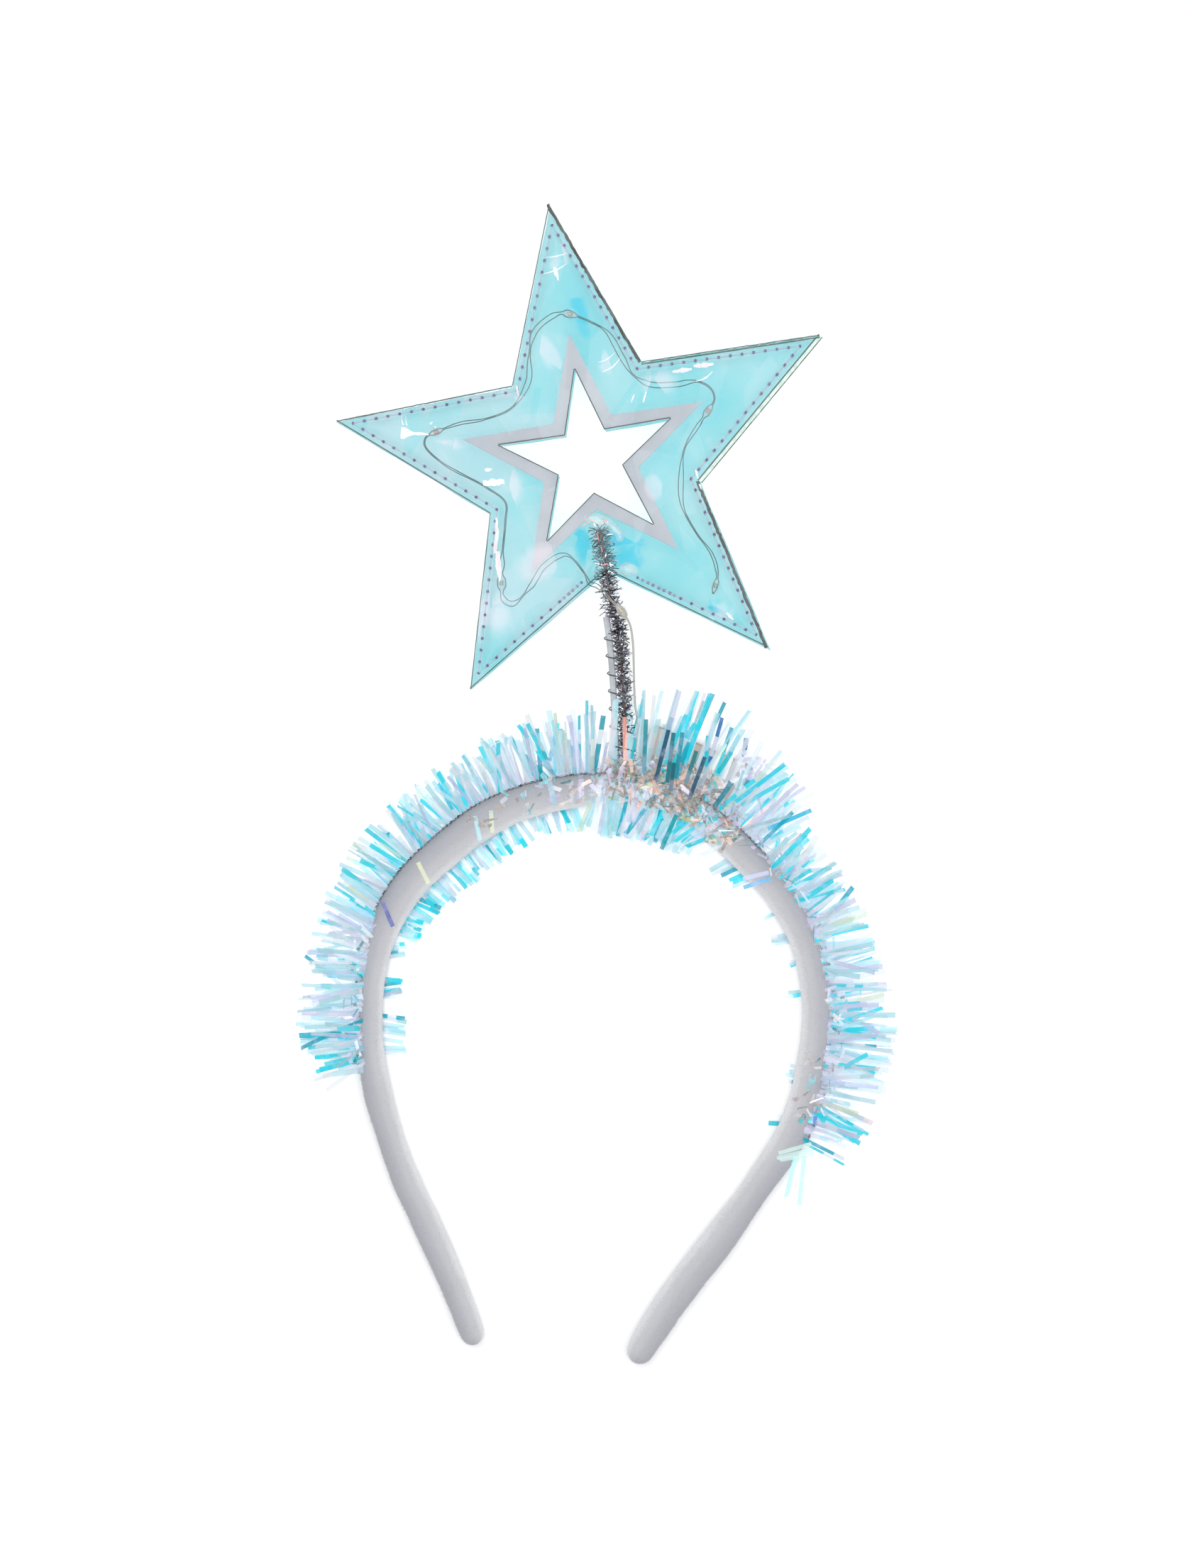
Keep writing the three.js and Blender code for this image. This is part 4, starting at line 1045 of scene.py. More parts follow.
def ribbons(path, side, width):
    """Points and faces of flat ribbons along paths, kept off the floor"""
    count, steps, _ = path.shape
    half = (side * (width / 2)[:, None])[:, None, :]
    points = np.stack([path - half, path + half], axis=2).reshape(-1, 3)
    points[:, 2] = np.maximum(points[:, 2], 0.05 * MM)
    base = np.arange(count)[:, None] * steps * 2 + np.arange(steps - 1)[None, :] * 2
    faces = np.stack([base, base + 1, base + 3, base + 2], axis=-1).reshape(-1, 4)
    return points, faces.tolist()


def strip_mesh(name, path, side, width, material, tints, milky_root=True):
    """Flat strips: path holds the points along each one, side the direction across it, tints the
    colour of each of its stretches"""
    count, steps, _ = path.shape
    points, faces = ribbons(path, side, width)
    piece = new_object(name, points, faces, material, smooth_shading=False)
    add_tints(piece, np.repeat(tints.reshape(-1, 3), 4, axis=0), "CORNER")
    along = np.linspace(0, 1, steps) if milky_root else np.ones(steps)
    add_values(piece, "along", np.tile(np.repeat(along, 2), count))
    add_values(piece, "across", np.tile([0.0, 1.0], count * steps))
    settle(piece)


def core_at(share):
    """The garland's core on the shoulder of the band"""
    point, tangent, out, half = band_at(share)
    aside = math.cos(CORE_ANGLE) * half + math.cos(CORE_ANGLE) * CORE_CLEARANCE
    rise = math.sin(CORE_ANGLE) * (BAND_DEPTH / 2 + CORE_CLEARANCE)
    core = point + out * aside[..., None]
    core[..., 2] += rise
    return core, tangent, out, aside


def core_wire():
    """Two wires twisted together that grip the strips"""
    count = 1500
    share = np.linspace(GARLAND_START, GARLAND_END, count)
    core, tangent, out, _ = core_at(share)
    up = np.cross(tangent, out)
    turn = np.linspace(0, 2 * math.pi * CORE_TWISTS, count)
    tubes = []
    for start in (0, math.pi):
        swing = np.cos(turn + start)[:, None] * out + np.sin(turn + start)[:, None] * up
        tubes.append((core + swing * CORE_WIRE_SWING, CORE_WIRE_RADIUS))
    points, faces = tube_mesh(tubes, 5)
    piece = new_object("garland_core_wire", points, faces, core_wire_material())
    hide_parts("tinsel_garland")


def outer_strips(material):
    rng = np.random.default_rng(11)
    shares, reaches, densities = np.array(GARLAND_ROWS).T
    span = (GARLAND_END - GARLAND_START) * BAND.length / MM
    total = int(span * densities.mean() * STRIP_THINNING)
    grid = np.linspace(GARLAND_START, GARLAND_END, 2000)
    weight = np.interp(grid, shares, densities)
    share = rng.choice(grid, size=total, p=weight / weight.sum())
    core, tangent, out, aside = core_at(share)
    reach = np.interp(share, shares, reaches) * MM - aside
    bunch = np.array([lump((s * 60, 0, 0), 1, 3) for s in share])
    drift = np.array([lump((s * 170, 5, 0), 1, 8) for s in share])
    stray = np.where(rng.random(total) < 0.2, 0.34, 0.09)
    sway = 0.30 * bunch + 0.26 * drift + rng.normal(0, 1, total) * stray
    sway = np.where(np.abs(share - STEM_SEAT) < 0.035, 0.25 * sway, sway)
    lift = np.radians(np.clip(rng.normal(15, 17, total), -20, 70))
    by_stem = np.abs(share - STEM_SEAT) < 0.008
    lift = np.where(by_stem, -np.abs(lift), lift)
    heading = np.cos(lift)[:, None] * out + np.sin(lift)[:, None] * Z_UP
    heading = unit(heading + sway[:, None] * tangent)
    flat_reach = np.maximum(np.einsum("ij,ij->i", heading, out), 0.25)
    ragged = np.clip(1.03 + 0.07 * bunch - 0.65 * rng.random(total) ** 1.8, 0.3, 1.06)
    length = np.minimum(reach * ragged / flat_reach, LONGEST_STRIP)
    raised = np.minimum(length, LONGEST_RAISED_STRIP)
    length = np.where(lift > math.radians(40), raised, length)
    steps = 5
    t = np.linspace(0, 1, steps)[None, :, None]
    bow = rng.normal(0, 1, (total, 3)) * (length * 0.035)[:, None]
    hidden = smooth((0.315 - share) / 0.03) + smooth((share - 0.60) / 0.03)
    back = hidden * rng.uniform(0.0, 2.4, total) * MM
    core = core - out * back[:, None] + Z_UP * (hidden * 0.9 * MM)[:, None]
    path = core[:, None, :] + heading[:, None, :] * (length + back)[:, None, None] * t
    path = path + bow[:, None, :] * (t * t)
    path[..., 2] = np.maximum(path[..., 2], 0.15 * MM)
    roll = rng.normal(0, 0.55, total)
    flat_side = unit(np.cross(heading, np.cross(tangent, heading)))
    normal = np.cross(heading, flat_side)
    side = np.cos(roll)[:, None] * flat_side + np.sin(roll)[:, None] * normal
    width = STRIP_WIDTH * rng.uniform(0.8, 1.25, total)
    mix = ((share > 0.518) & (share < 0.568)).astype(int)
    tints = strip_tints(rng, total, steps - 1, mix)
    strip_mesh("garland_outer_strips", path, side, width, material, tints)


def row_picks(rng, rows):
    """For each strip of a table's rows: its share of the band, its reach and its lean"""
    share = np.concatenate([rng.uniform(a, b, n) for a, b, _, n, _ in rows])
    reach = np.concatenate([np.full(n, r * MM) for _, _, r, n, _ in rows])
    lean = np.concatenate([np.full(n, k) for _, _, _, n, k in rows])
    return share, reach, lean


def tuft_strips(material):
    """Strips behind the inner edge of the band, held under its rounded side"""
    rng = np.random.default_rng(21)
    share, reach, lean = row_picks(rng, TUFT_ROWS)
    count = len(share)
    point, tangent, out, half = band_at(share)
    bunch = np.array([lump((s * 150, 9, 0), 1, 2) for s in share])
    heading = unit(-out + (lean + 0.3 * bunch + rng.normal(0, 0.10, count))[:, None] * tangent)
    root_in = 0.66 * half
    root = point - out * root_in[:, None]
    root[:, 2] = rng.uniform(0.3, 0.9, count) * MM
    length = reach * np.clip(rng.normal(0.93, 0.07, count), 0.6, 1.03) - root_in
    steps = 4
    t = np.linspace(0, 1, steps)[None, :, None]
    path = root[:, None, :] + heading[:, None, :] * length[:, None, None] * t
    path[..., 2] += rng.uniform(0.0, 2.2, count)[:, None] * MM * t[..., 0] ** 1.5
    roll = rng.normal(0, 0.35, count)[:, None]
    side = unit(np.cross(heading, Z_UP) + Z_UP * roll)
    width = STRIP_WIDTH * rng.uniform(0.85, 1.2, count)
    tints = strip_tints(rng, count, steps - 1, np.full(count, 2))
    strip_mesh("garland_inner_tufts", path, side, width, material, tints)


def draped_strips(material):
    """Strips that leave the core, cross the front of the band and hang past its inner edge"""
    rng = np.random.default_rng(31)
    share, reach, lean = row_picks(rng, DRAPE_ROWS)
    count = len(share)
    _, tangent, out, aside = core_at(share)
    point, _, _, half = band_at(share)
    ends = reach * np.clip(rng.normal(0.9, 0.1, count), 0.35, 1.04)
    start = aside * rng.uniform(0.5, 1.0, count)
    steps = 8
    t = np.linspace(0, 1, steps)[None, :]
    across = start[:, None] + (-ends - start)[:, None] * t
    drift = (lean + rng.normal(0, 0.13, count))[:, None] * (start[:, None] - across)
    path = point[:, None, :] + out[:, None, :] * across[..., None]
    path = path + tangent[:, None, :] * drift[..., None]
    level = rng.uniform(0.3, 2.6, count)[:, None] * MM
    roundness = np.sqrt(np.clip(1 - (across / half[:, None]) ** 2, 0.06, 1))
    crest = point[:, 2:3] + BAND_DEPTH / 2 * roundness
    beyond = np.clip((-across - half[:, None]) / (8 * MM), 0, 1)
    hang = point[:, 2:3] + BAND_DEPTH / 2 * (0.62 - 0.5 * beyond)
    path[..., 2] = np.where(across > -0.78 * half[:, None], crest, np.maximum(hang, 2 * MM)) + level
    roll = rng.normal(0, 0.3, count)
    side = unit(tangent + np.sin(roll)[:, None] * Z_UP)
    width = STRIP_WIDTH * rng.uniform(0.85, 1.25, count)
    tints = strip_tints(rng, count, steps - 1, np.zeros(count, int))
    strip_mesh("garland_front_fringe", path, side, width, material, tints)


def front_strips(material):
    """The single strips in front of the box and the stem and over the band; those in front of the
    box rise towards their tips"""
    places, colours = [], []
    for x, y, length, lean, colour in FRONT_STRIPS:
        height = BOX_STRIP_HEIGHT if x > 10 and y > -14 else BAND_STRIP_HEIGHT
        places.append((x, y, height, length, math.radians(lean)))
        colours.append(colour)
    x, y, z, length, lean = np.array(places).T
    steps = 5
    t = np.linspace(0, 1, steps)[None, :]
    rise = BOX_STRIP_RISE * (z == BOX_STRIP_HEIGHT)
    path = np.stack([
        x[:, None] + np.sin(lean)[:, None] * length[:, None] * t,
        y[:, None] + np.cos(lean)[:, None] * length[:, None] * t,
        z[:, None] + rise[:, None] * np.abs(length)[:, None] * t,
    ], axis=-1) * MM
    side = np.stack([np.cos(lean), -np.sin(lean), np.full_like(lean, 0.1)], axis=-1)
    width = np.full(len(x), 1.2 * MM)
    tints = np.repeat(np.array(colours)[:, None, :], steps - 1, axis=1)
    strip_mesh("garland_front_strips", path, unit(side), width, material, tints, milky_root=False)


def film_scraps():
    """Small crumpled bits of film caught round the core"""
    rng = np.random.default_rng(61)
    share, outwards, warm, size = [], [], [], []
    for start, end, inner, outer, count, warmth, scale in SCRAP_ROWS:
        share.append(rng.uniform(start, end, count))
        outwards.append(rng.uniform(inner, outer, count) * MM)
        warm.append(rng.random(count) < warmth)
        size.append(np.full(count, scale))
    share, outwards, warm, size = (np.concatenate(v) for v in (share, outwards, warm, size))
    count = len(share)
    point, _, out, half = band_at(share)
    middle = point + out * outwards[:, None]
    over_band = np.sqrt(np.clip(1 - (outwards / half) ** 2, 0, 1)) * BAND_DEPTH / 2
    middle[:, 2] += np.maximum(over_band, 2.8 * MM) + rng.uniform(0.5, 4.0, count) * MM
    first = unit(rng.normal(0, 1, (count, 3)) * [1, 1, 0.45])
    second = unit(np.cross(first, rng.normal(0, 1, (count, 3))))
    long = (rng.uniform(0.5, 2.4, count) * size)[:, None] * MM
    short = (rng.uniform(0.25, 1.0, count) * size)[:, None] * MM
    corners = [
        middle - first * long - second * short * rng.uniform(0.2, 1, (count, 1)),
        middle + first * long - second * short * rng.uniform(0.2, 1, (count, 1)),
        middle + first * long * 0.8 + second * short,
        middle - first * long * 0.9 + second * short * rng.uniform(0.3, 1, (count, 1)),
    ]
    points = np.stack(corners, axis=1).reshape(-1, 3)
    faces = np.arange(4 * count).reshape(-1, 4)
    piece = new_object("film_scraps", points, faces.tolist(), scrap_material(), smooth_shading=False)
    warm_picks = rng.choice(len(WARM_TINTS), count, p=WARM_SHARES)
    cool_picks = rng.choice(len(COOL_TINTS), count, p=COOL_SHARES)
    cool_picks = np.where(size > 1, cool_picks % 2, cool_picks)
    tints = np.where(warm[:, None], np.array(WARM_TINTS)[warm_picks], np.array(COOL_TINTS)[cool_picks])
    tints = tints * rng.uniform(0.8, 1.1, (count, 1))
    add_tints(piece, np.repeat(tints, 4, axis=0))
    settle(piece)


# The stem


def stem_route():
    seat, _, _, _ = band_at(STEM_SEAT)
    base = seat + np.array([0, STEM_SEAT_RISE, 0])
    points = [base + np.array([lean * STEM_LEAN, up * STEM_HEIGHT, 0]) for up, lean in STEM_ROWS]
    into_star = np.array([-math.sin(STAR_TURN), math.cos(STAR_TURN), 0])
    points.append(points[-1] + into_star * POCKET_DEPTH)
    return Route(points)


STEM = stem_route()
STAR_UP = np.array([-math.sin(STAR_TURN), math.cos(STAR_TURN), 0])
STAR_NOTCH = STEM.dense[-1] - STAR_UP * POCKET_DEPTH
STAR_CENTRE = STAR_NOTCH + STAR_UP * STAR_NOTCH_RADIUS


def stem_at(height):
    """The stem's axis at a share of its visible height, with its right side and its front"""
    share = np.asarray(height) * STEM_HEIGHT / (STEM_HEIGHT + POCKET_DEPTH)
    point = STEM.at(share)
    tangent = STEM.along(share)
    right = np.stack([tangent[..., 1], -tangent[..., 0], np.zeros_like(tangent[..., 0])], axis=-1)
    front = np.cross(right, tangent)
    return point, tangent, right, front


def stem_hairs():
    """Crinkled silver hairs round a dark core thread"""
    rng = np.random.default_rng(41)
    count = STEM_HAIR_COUNT
    top = (STEM_HEIGHT + POCKET_DEPTH) / STEM_HEIGHT
    height = top * rng.random(count) ** 1.15
    point, tangent, right, front = stem_at(height)
    full = smooth((height - 0.72) / 0.12)
    pressed = smooth((height - 0.93) / 0.07)
    angle = rng.uniform(0, 2 * math.pi, count)
    forwards = front * (1 - 0.45 * pressed)[:, None]
    radial = np.cos(angle)[:, None] * right + np.sin(angle)[:, None] * forwards
    length = (2.7 + 0.7 * full) * rng.uniform(0.5, 1.2, count) * MM
    offset = right * ((1 - full) * BESIDE_TUBE)[:, None]
    heading = unit(radial + tangent * rng.normal(0.1, 0.45, count)[:, None])
    steps = 4
    t = np.linspace(0, 1, steps)[None, :, None]
    kink = rng.normal(0, 0.22, (count, steps, 3)) * MM
    kink[:, 0, :] = 0
    path = (point + offset)[:, None, :] + heading[:, None, :] * length[:, None, None] * t + kink
    side = unit(np.cross(heading, rng.normal(0, 1, (count, 3))))
    width = rng.uniform(0.2, 0.36, count) * MM
    points, faces = ribbons(path, side, width)
    piece = new_object("stem_tinsel_hairs", points, faces, silver_material(), smooth_shading=False)
    # Each hair's tone: the darkest paint the shade inside the brush, which casts no shadow, and the
    # palest paint its highlights; the rest are the tinsel's own silver
    painted_shade_and_shine_grey = rng.choice([0.02, 0.08, 0.28, 0.95], size=count, p=[0.30, 0.32, 0.20, 0.18])
    colours = np.stack([painted_shade_and_shine_grey, painted_shade_and_shine_grey * 1.06, painted_shade_and_shine_grey * 1.2 + 0.02], axis=1)
    add_tints(piece, np.repeat(colours, steps * 2, axis=0))
    settle(piece, "stem_tinsel")


def stem_core():
    top = (STEM_HEIGHT + POCKET_DEPTH) / STEM_HEIGHT
    height = np.linspace(0.0, top, 60)
    point, _, right, _ = stem_at(height)
    full = smooth((height - 0.72) / 0.12)
    line = point + right * ((1 - full) * BESIDE_TUBE)[:, None]
    points, faces = tube_mesh([(line, STEM_CORE_RADIUS)], 8)
    piece = new_object("stem_core_thread", points, faces, core_thread_material())
    settle(piece)


def stem_coil():
    turns = COIL_SHARE * STEM_HEIGHT / COIL_PITCH
    steps = int(turns * 28)
    share = np.arange(steps + 1) / steps
    height = COIL_WIRE_RADIUS / STEM_HEIGHT + share * COIL_SHARE
    point, _, right, front = stem_at(height)
    angle = share * turns * 2 * math.pi
    centres = point + COIL_RADIUS * (np.cos(angle)[:, None] * right + np.sin(angle)[:, None] * front)
    points, faces = tube_mesh([(centres, COIL_WIRE_RADIUS)], 6)
    piece = new_object("stem_spring", points, faces, steel_material())
    settle(piece, "stem_coil")


# The star


def star_corner(inward, corner):
    """Corners counted from the top tip; inward is 0 at the cut edge and 1 at the window"""
    turn, reach, _ = np.array(CORNER_ROWS)[corner % 10].T
    tip = STAR_TIP_RADIUS + (HOLE_TIP_RADIUS - STAR_TIP_RADIUS) * inward
    notch = STAR_NOTCH_RADIUS + (HOLE_NOTCH_RADIUS - STAR_NOTCH_RADIUS) * inward
    radius = np.where(corner % 2 == 0, tip, notch) * (reach + (1 - reach) * inward)
    angle = math.pi / 2 + STAR_TURN + corner * math.pi / 5 + np.radians(turn) * (1 - inward)
    return np.stack([np.cos(angle) * radius, np.sin(angle) * radius], axis=-1)


def star_point(inward, place):
    corner = np.floor(place).astype(int)
    share = (place - corner)[..., None]
    start = star_corner(inward, corner)
    end = star_corner(inward, corner + 1)
    return start + (end - start) * share + STAR_CENTRE[:2]


def film_height(node, face):
    """Height of the outer surface of a film over any point"""
    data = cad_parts[node].data
    tree = BVHTree.FromPolygons([v.co for v in data.vertices], [p.vertices[:] for p in data.polygons])

    def height(x, y):
        hit = tree.ray_cast(Vector((x, y, face)), Vector((0, 0, -face)))[0]
        if hit is None:
            hit = tree.find_nearest(Vector((x, y, STAR_CENTRE[2] + face * MM)))[0]
        return hit.z

    return height


def star_film(name, node, face, film, edge, slips=None):
    """One film of the star: its two faces, with thin dark strips along its cut edges. slips are
    how far it has slipped at the left and right points."""
    height = film_height(node, face)
    inwards = np.array(
        [0, 0.013, 0.04, 0.075, 0.105, 0.13, 0.16, 0.2, 0.25, 0.31, 0.38, 0.46, 0.54, 0.62, 0.7, 0.76,
         0.81, 0.87, 0.93, 0.99, 1]
    )
    per_side = 26
    places = np.arange(10 * per_side) / per_side
    rings = []
    for inward in inwards:
        plan = star_point(inward, places)
        onto_film = 0.996 if inward < 0.5 else 1.004
        probe = STAR_CENTRE[:2] + (plan - STAR_CENTRE[:2]) * onto_film
        seam = smooth(abs(inward - SEAM_INWARD) / SEAM_FLATNESS)
        ring = []
        for (x, y), (px, py) in zip(plan, probe):
            p = Vector((x, y, 0))
            fold = 1 - abs(noise.noise(p * 70 + Vector((3, 0, face * 9)))) * 3
            wave = 0.5 + 0.5 * noise.noise(p * 45 + Vector((0, 7, face * 4)))
            rise = (0.25 * wave + 0.35 * max(fold, 0)) * seam * MM
            sideways = noise.noise(p * 120 + Vector((5, 5, 5)))
            shift = Vector((noise.noise(p * 120), sideways, 0)) * 0.18 * MM
            if slips:
                shift = shift + slips[0].lerp(slips[1], smooth((x / STAR_TIP_RADIUS + 1) / 2))
            ring.append(p + shift + Vector((0, 0, height(px, py) + face * rise)))
        rings.append(ring)
    count = len(places)
    outer = np.array(rings, float)
    inner = outer.copy()
    inner[..., 2] -= face * FILM_THICKNESS
    points = np.concatenate([outer.reshape(-1, 3), inner.reshape(-1, 3)])
    rows = len(inwards)
    shift = rows * count
    faces = grid_faces(rows, count)
    faces.extend(list(reversed(f)) for f in grid_faces(rows, count, start=shift))
    for ring in (0, rows - 1):
        for j in range(count):
            a = ring * count + j
            b = ring * count + (j + 1) % count
            faces.append([a, b, b + shift, a + shift])
    if face > 0:
        faces = [list(reversed(f)) for f in faces]
    piece = new_object(name, points, faces, film, edge)
    sheet = (rows - 1) * count
    kinds = np.zeros(len(faces), int)
    kinds[2 * sheet :] = 1
    piece.data.polygons.foreach_set("material_index", kinds)
    settle(piece, node)


def glints(name, rows, material):
    """Narrow patches just above the front film, where its creases catch the light"""
    height = film_height("star_front_film", 1)
    rng = np.random.default_rng(81)
    steps = 9
    t = np.linspace(0, 1, steps)
    points, faces = [], []
    for x, y, length, *widths, turn, bow in rows:
        angle = math.radians(turn)
        along = np.array([math.cos(angle), math.sin(angle)])
        aside = np.array([-along[1], along[0]])
        bend = bow * np.sin(t * math.pi)
        middle = np.array([x, y]) + np.outer(t * length, along) + np.outer(bend, aside)
        half = np.interp(t, [0, 0.5, 1], widths) / 2
        start = len(points)
        for place, reach in zip(middle, half):
            for sign in (-1, 1):
                flat = (place + aside * sign * reach * rng.uniform(0.6, 1.15)) * MM
                points.append((*flat, height(*flat) + 0.35 * MM))
        faces.extend(grid_faces(steps, 2, closed=False, start=start))
    piece = new_object(name, points, faces, material, smooth_shading=False)
    settle(piece)


def rim_lines():
    """The dark lines of the cut edges, one or two to a side, with their own widths and colours"""
    height = film_height("star_front_film", 1)
    rng = np.random.default_rng(71)
    points, faces, tints = [], [], []
    for side, inset, width, rough, colour in RIM_ROWS:
        inward = 1 if side is None else 0
        sides = range(10) if side is None else [side]
        for k in sides:
            steps = 60
            place = np.linspace(k, k + 0.99999, steps)
            line = star_point(inward, place)
            along = unit(line[-1] - line[0])
            outside = np.array([along[1], -along[0]]) * (1 if inward == 0 else -1)
            start = len(points)
            for place in line:
                jitter = rng.normal(0, rough, 2) * MM
                onto_film = 0.995 if inward == 0 else 1.01
                z = height(*(STAR_CENTRE[:2] + (place - STAR_CENTRE[:2]) * onto_film))
                outer = place - outside * (inset * MM + jitter[0])
                inner = outer - outside * (width * MM + jitter[1])
                points.append((*outer, z + 0.12 * MM))
                points.append((*inner, z + 0.12 * MM))
                tints.extend([colour, colour])
            faces.extend(grid_faces(steps, 2, closed=False, start=start))
    piece = new_object("star_rim_lines", points, faces, rim_material(), smooth_shading=False)
    add_tints(piece, np.array(tints))
    settle(piece)


def stitch_ends():
    """The two ends of each stitch, side by side round the star, open at the bottom notch. The seam
    is sewn back over itself at the two ends of that gap."""
    ends = []
    seam = [star_corner(CORNER_ROWS[k][2], np.array(k)) + STAR_CENTRE[:2] for k in range(10)]
    for side in range(10):
        start, end = seam[side], seam[(side + 1) % 10]
        length = np.linalg.norm(end - start)
        count = round(length / STITCH_PITCH)
        for k in range(count):
            middle = (k + 0.5) / count * length
            to_notch = length - middle if side == 4 else middle
            gap = {4: SEAM_GAP_LEFT, 5: SEAM_GAP_RIGHT}.get(side, 0)
            if to_notch < gap:
                continue
            direction = (end - start) / length
            ends.append((start + direction * (middle - STITCH_LENGTH / 2),
                         start + direction * (middle + STITCH_LENGTH / 2)))
            if gap and to_notch < gap + SEWN_BACK:
                nudge = direction * SEWN_BACK_SHIFT
                ends.append((ends[-1][0] + nudge, ends[-1][1] + nudge))
    return ends


def stitching():
    tubes = []
    holes = []
    for node, face in (("star_front_film", 1), ("star_back_film", -1)):
        height = film_height(node, face)
        for a, b in stitch_ends():
            za = height(*a)
            zb = height(*b)
            share = np.array([0, 0.12, 0.5, 0.88, 1])
            lift = np.array([0.02, 0.16, 0.3, 0.16, 0.02]) * MM
            centres = np.outer(1 - share, [*a, za]) + np.outer(share, [*b, zb])
            centres[:, 2] += face * lift
            tubes.append((centres, THREAD_RADIUS * np.array([0.5, 0.9, 1, 0.9, 0.5])))
            for x, y, z in ((*a, za), (*b, zb)):
                flat = [[x, y, z + face * 0.03 * MM], [x, y, z + face * 0.09 * MM]]
                holes.append((np.array(flat), NEEDLE_HOLE_RADIUS))
    points, faces = tube_mesh(tubes, 6)
    piece = new_object("star_stitching", points, faces, thread_material())
    settle(piece)
    points, faces = tube_mesh(holes, 8)
    piece = new_object("star_needle_holes", points, faces, needle_hole_material())
    settle(piece)


# The fairy lights


def light_marks():
    """Points of the light string, from the battery box to the last drop"""
    low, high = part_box("battery_box")
    box_side = np.array([low.x, (low.y + high.y) / 2 + LEAD_ABOVE_MIDDLE, (low.z + high.z) / 2])
    marks = [(box_side, False), (box_side - np.array([LEAD_FROM_BOX, 0, 0]), False)]
    for height, angle, spare, lamp in STEM_LIGHT_ROWS:
        point, _, right, front = stem_at(height)
        body = COIL_RADIUS + COIL_WIRE_RADIUS if height < COIL_SHARE + 0.02 else TINSEL_RADIUS
        thickness = DROP_RADIUS if lamp else 0.4 * MM
        distance = body + BODY_GAP + thickness + spare * MM
        a = math.radians(angle)
        marks.append((point + distance * (math.cos(a) * right + math.sin(a) * front), lamp))
    for across, up, lamp in STAR_LIGHT_ROWS:
        marks.append((STAR_CENTRE + np.array([across, up, 0]) * STAR_TIP_RADIUS, lamp))
    return marks


def light_string():
    marks = light_marks()
    route = Route([point for point, _ in marks])
    lamps = [route.control_shares[i] for i, (_, lamp) in enumerate(marks) if lamp]
    lamps = [min(s, 1 - DROP_HALF_LENGTH / route.length) for s in lamps]
    count = 1100
    share = np.linspace(0, 1, count)
    centre = route.at(share)
    tangent = route.along(share)
    side = unit(np.cross(tangent, [0, 0, 1.0]))
    near = np.min([np.abs(share - s) for s in lamps], axis=0) * route.length
    around = np.exp(-((near / (1.9 * MM)) ** 4)) * 0.62
    pinch = 1 - np.exp(-(((near - 2.9 * MM) / (1.2 * MM)) ** 2)) * 0.7
    loose = np.array([abs(lump((s * 15, 3, 0), 1, 1)) for s in share])
    apart = np.clip(3.2 * loose - 0.22, 0.0, 0.55)
    in_star = smooth((share * route.length - 48 * MM) / (12 * MM))
    swing = np.maximum(around, 0.16) + apart * in_star * pinch
    tubes = []
    for sign in (-1, 1):
        aside = side * (sign * swing * MM)[:, None]
        lift = sign * 0.16 * MM * np.sin(share * 2 * math.pi * WIRE_TWISTS)
        line = centre + aside
        line[:, 2] += lift
        tubes.append((line, LIGHT_WIRE_RADIUS))
    points, faces = tube_mesh(tubes, 6)
    piece = new_object("light_wires", points, faces, light_wire_material())
    add_values(piece, "in_star", np.tile(np.repeat(in_star, 6), 2))
    settle(piece, "light_string")
    light_drops(route, lamps)


def light_drops(route, lamps):
    """Resin drops with a small chip inside each; the one on the stem is olive and larger"""
    clear = resin_material("clear_resin", (0.50, 0.58, 0.60), 0.28)
    olive = resin_material("olive_resin", (0.46, 0.43, 0.34), 0.7)
    chips = [
        chip_material("olive_chip", (0.30, 0.26, 0.10)),
        chip_material("red_chip", (0.55, 0.08, 0.04)),
        chip_material("amber_chip", (0.50, 0.22, 0.04)),
        chip_material("green_chip", (0.05, 0.25, 0.10)),
    ]
    order = [0, 3, 1, 2, 1, 3]
    shape = np.linspace(-1, 1, 15)
    for i, (s, kind) in enumerate(zip(lamps, order)):
        size = 1.0 if kind == 0 else 0.85
        place = s + shape * DROP_HALF_LENGTH * size / route.length
        radii = DROP_RADIUS * size * np.sqrt(np.clip(1 - shape**2, 0.01, 1)) * (1 - 0.12 * shape)
        points, faces = tube_mesh([(route.at(np.clip(place, 0, 1)), radii)], 14)
        drop = new_object(f"light_drop_{i + 1}", points, faces, olive if kind == 0 else clear)
        settle(drop)
        inside = s + np.array([-0.3, -0.24, 0.24, 0.3]) * DROP_HALF_LENGTH / route.length
        radii = np.array([0.2, 0.5, 0.5, 0.2]) * MM
        points, faces = tube_mesh([(route.at(np.clip(inside, 0, 1)), radii)], 6)
        chip = new_object(f"light_chip_{i + 1}", points, faces, chips[kind])


# Set glue and carried-over pieces

GLUE_COLUMNS = ("x", "y", "radius")
GLUE_LUMPS = {
    "glue_under_window": [
        (-3.2, 75.6, 1.3),
        (-1.0, 74.8, 2.1),
        (1.4, 74.2, 2.3),
        (3.6, 73.6, 1.9),
        (5.6, 72.3, 1.2),
        (7.0, 70.4, 1.3),
        (7.6, 68.2, 1.6),
    ],
    "glue_at_notch": [(7.0, 61.3, 1.1), (8.8, 60.8, 2.1), (10.8, 60.0, 1.7), (12.2, 59.2, 1.0)],
}


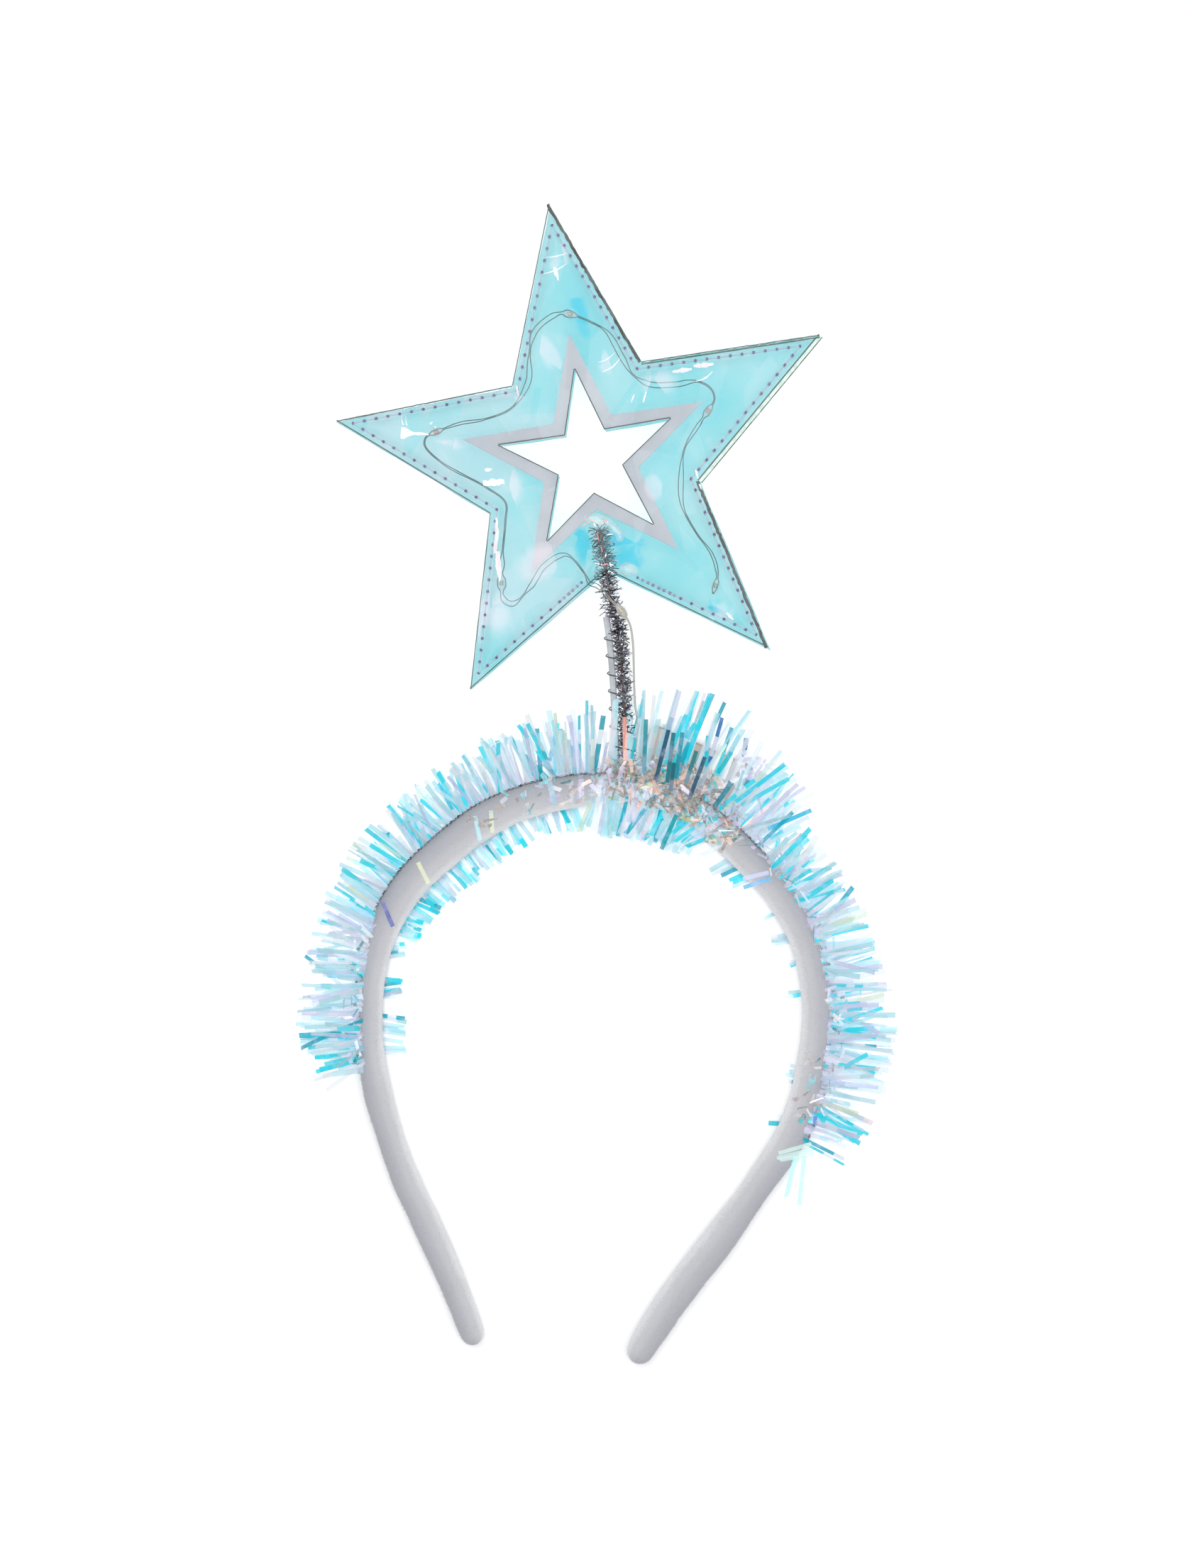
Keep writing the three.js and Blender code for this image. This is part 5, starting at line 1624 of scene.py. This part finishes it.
def glue_lumps():
    material = glue_material("set_glue", (0.50, 0.64, 0.70), 0.24)
    for node, rows in GLUE_LUMPS.items():
        route = Route([(x * MM, y * MM, STAR_CENTRE[2]) for x, y, _ in rows])
        share = np.linspace(0, 1, 30)
        radii = np.interp(share, route.control_shares, [r for _, _, r in rows]) * MM
        ends = np.sqrt(np.clip(1 - (2 * share - 1) ** 8, 0.02, 1))
        points, faces = tube_mesh([(route.at(share), radii * ends)], 16, flatness=0.5)
        points = [p + unit(p - STAR_CENTRE) * lump(p, 700, 4) * 0.25 * MM for p in points]
        piece = new_object(node + "_lump", points, faces, material)
        settle(piece, node)


def carried_over():
    for node, material in (
        ("window_frame", frame_sheet_material()),
        ("battery_box", box_material()),
        ("stem_tube", pale_tube_material()),
    ):
        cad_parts[node].visible_shadow = node == "battery_box"
        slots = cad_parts[node].data.materials
        slots.clear()
        slots.append(material)


# Room


def room():
    scene = bpy.context.scene
    camera = bpy.data.objects.new("camera", bpy.data.cameras.new("camera"))
    camera.data.lens = LENS
    camera.data.sensor_width = SENSOR
    camera.location = (CAMERA_SIDE, 0, CAMERA_HEIGHT)
    scene.collection.objects.link(camera)
    scene.camera = camera
    half = FLOOR_SIZE / 2
    data = bpy.data.meshes.new("floor")
    corners = [(-half, -half, 0), (half, -half, 0), (half, half, 0), (-half, half, 0)]
    data.from_pydata(corners, [], [(0, 1, 2, 3)])
    data.materials.append(floor_material())
    floor = bpy.data.objects.new("floor", data)
    scene.collection.objects.link(floor)
    world = bpy.data.worlds.new("studio")
    scene.world = world
    world.use_nodes = True
    sky = world.node_tree.nodes["Background"]
    sky.inputs["Color"].default_value = (0.97, 0.98, 1, 1)
    sky.inputs["Strength"].default_value = 0.45
    lamps = (
        ("key_light", (-0.2, 0.3, 1.6), 0.8, 11),
        ("fill_light", (0.5, -0.25, 1.5), 0.7, 6.5),
        ("top_light", (-0.1, -0.3, 1.7), 0.4, 5),
    )
    for name, place, size, power in lamps:
        light = bpy.data.lights.new(name, "AREA")
        light.size = size
        light.energy = power
        lamp = bpy.data.objects.new(name, light)
        lamp.location = place
        lamp.rotation_euler = (Vector((0, 0, 0)) - Vector(place)).to_track_quat("-Z", "Y").to_euler()
        scene.collection.objects.link(lamp)
    scene.view_settings.view_transform = "Standard"


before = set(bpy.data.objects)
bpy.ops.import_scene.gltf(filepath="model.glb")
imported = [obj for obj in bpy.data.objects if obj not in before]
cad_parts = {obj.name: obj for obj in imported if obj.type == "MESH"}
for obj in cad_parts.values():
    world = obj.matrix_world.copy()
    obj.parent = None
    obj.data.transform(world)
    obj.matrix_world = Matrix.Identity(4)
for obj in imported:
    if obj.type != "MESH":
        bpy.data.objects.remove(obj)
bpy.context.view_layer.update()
room()
fleece_band()
fleece_pile()
strips = strip_material()
core_wire()
outer_strips(strips)
tuft_strips(strips)
draped_strips(strips)
front_strips(strips)
film_scraps()
stem_hairs()
stem_core()
stem_coil()
cut_edge = cut_edge_material()
slips = (BACK_SLIP_LEFT, BACK_SLIP_RIGHT)
star_film("star_front_sheet", "star_front_film", 1, front_film_material(), cut_edge)
star_film("star_back_sheet", "star_back_film", -1, back_film_material(), cut_edge, slips)
pale = glint_material("film_glints", (0.98, 0.84, 0.87), (1.0, 0.97, 0.97))
glints("star_glints", GLINTS, pale)
coral = glint_material("coral_glints", (0.85, 0.20, 0.12), (0.95, 0.62, 0.55))
glints("glue_glints", GLUE_GLINTS, coral)
rim_lines()
stitching()
light_string()
glue_lumps()
carried_over()
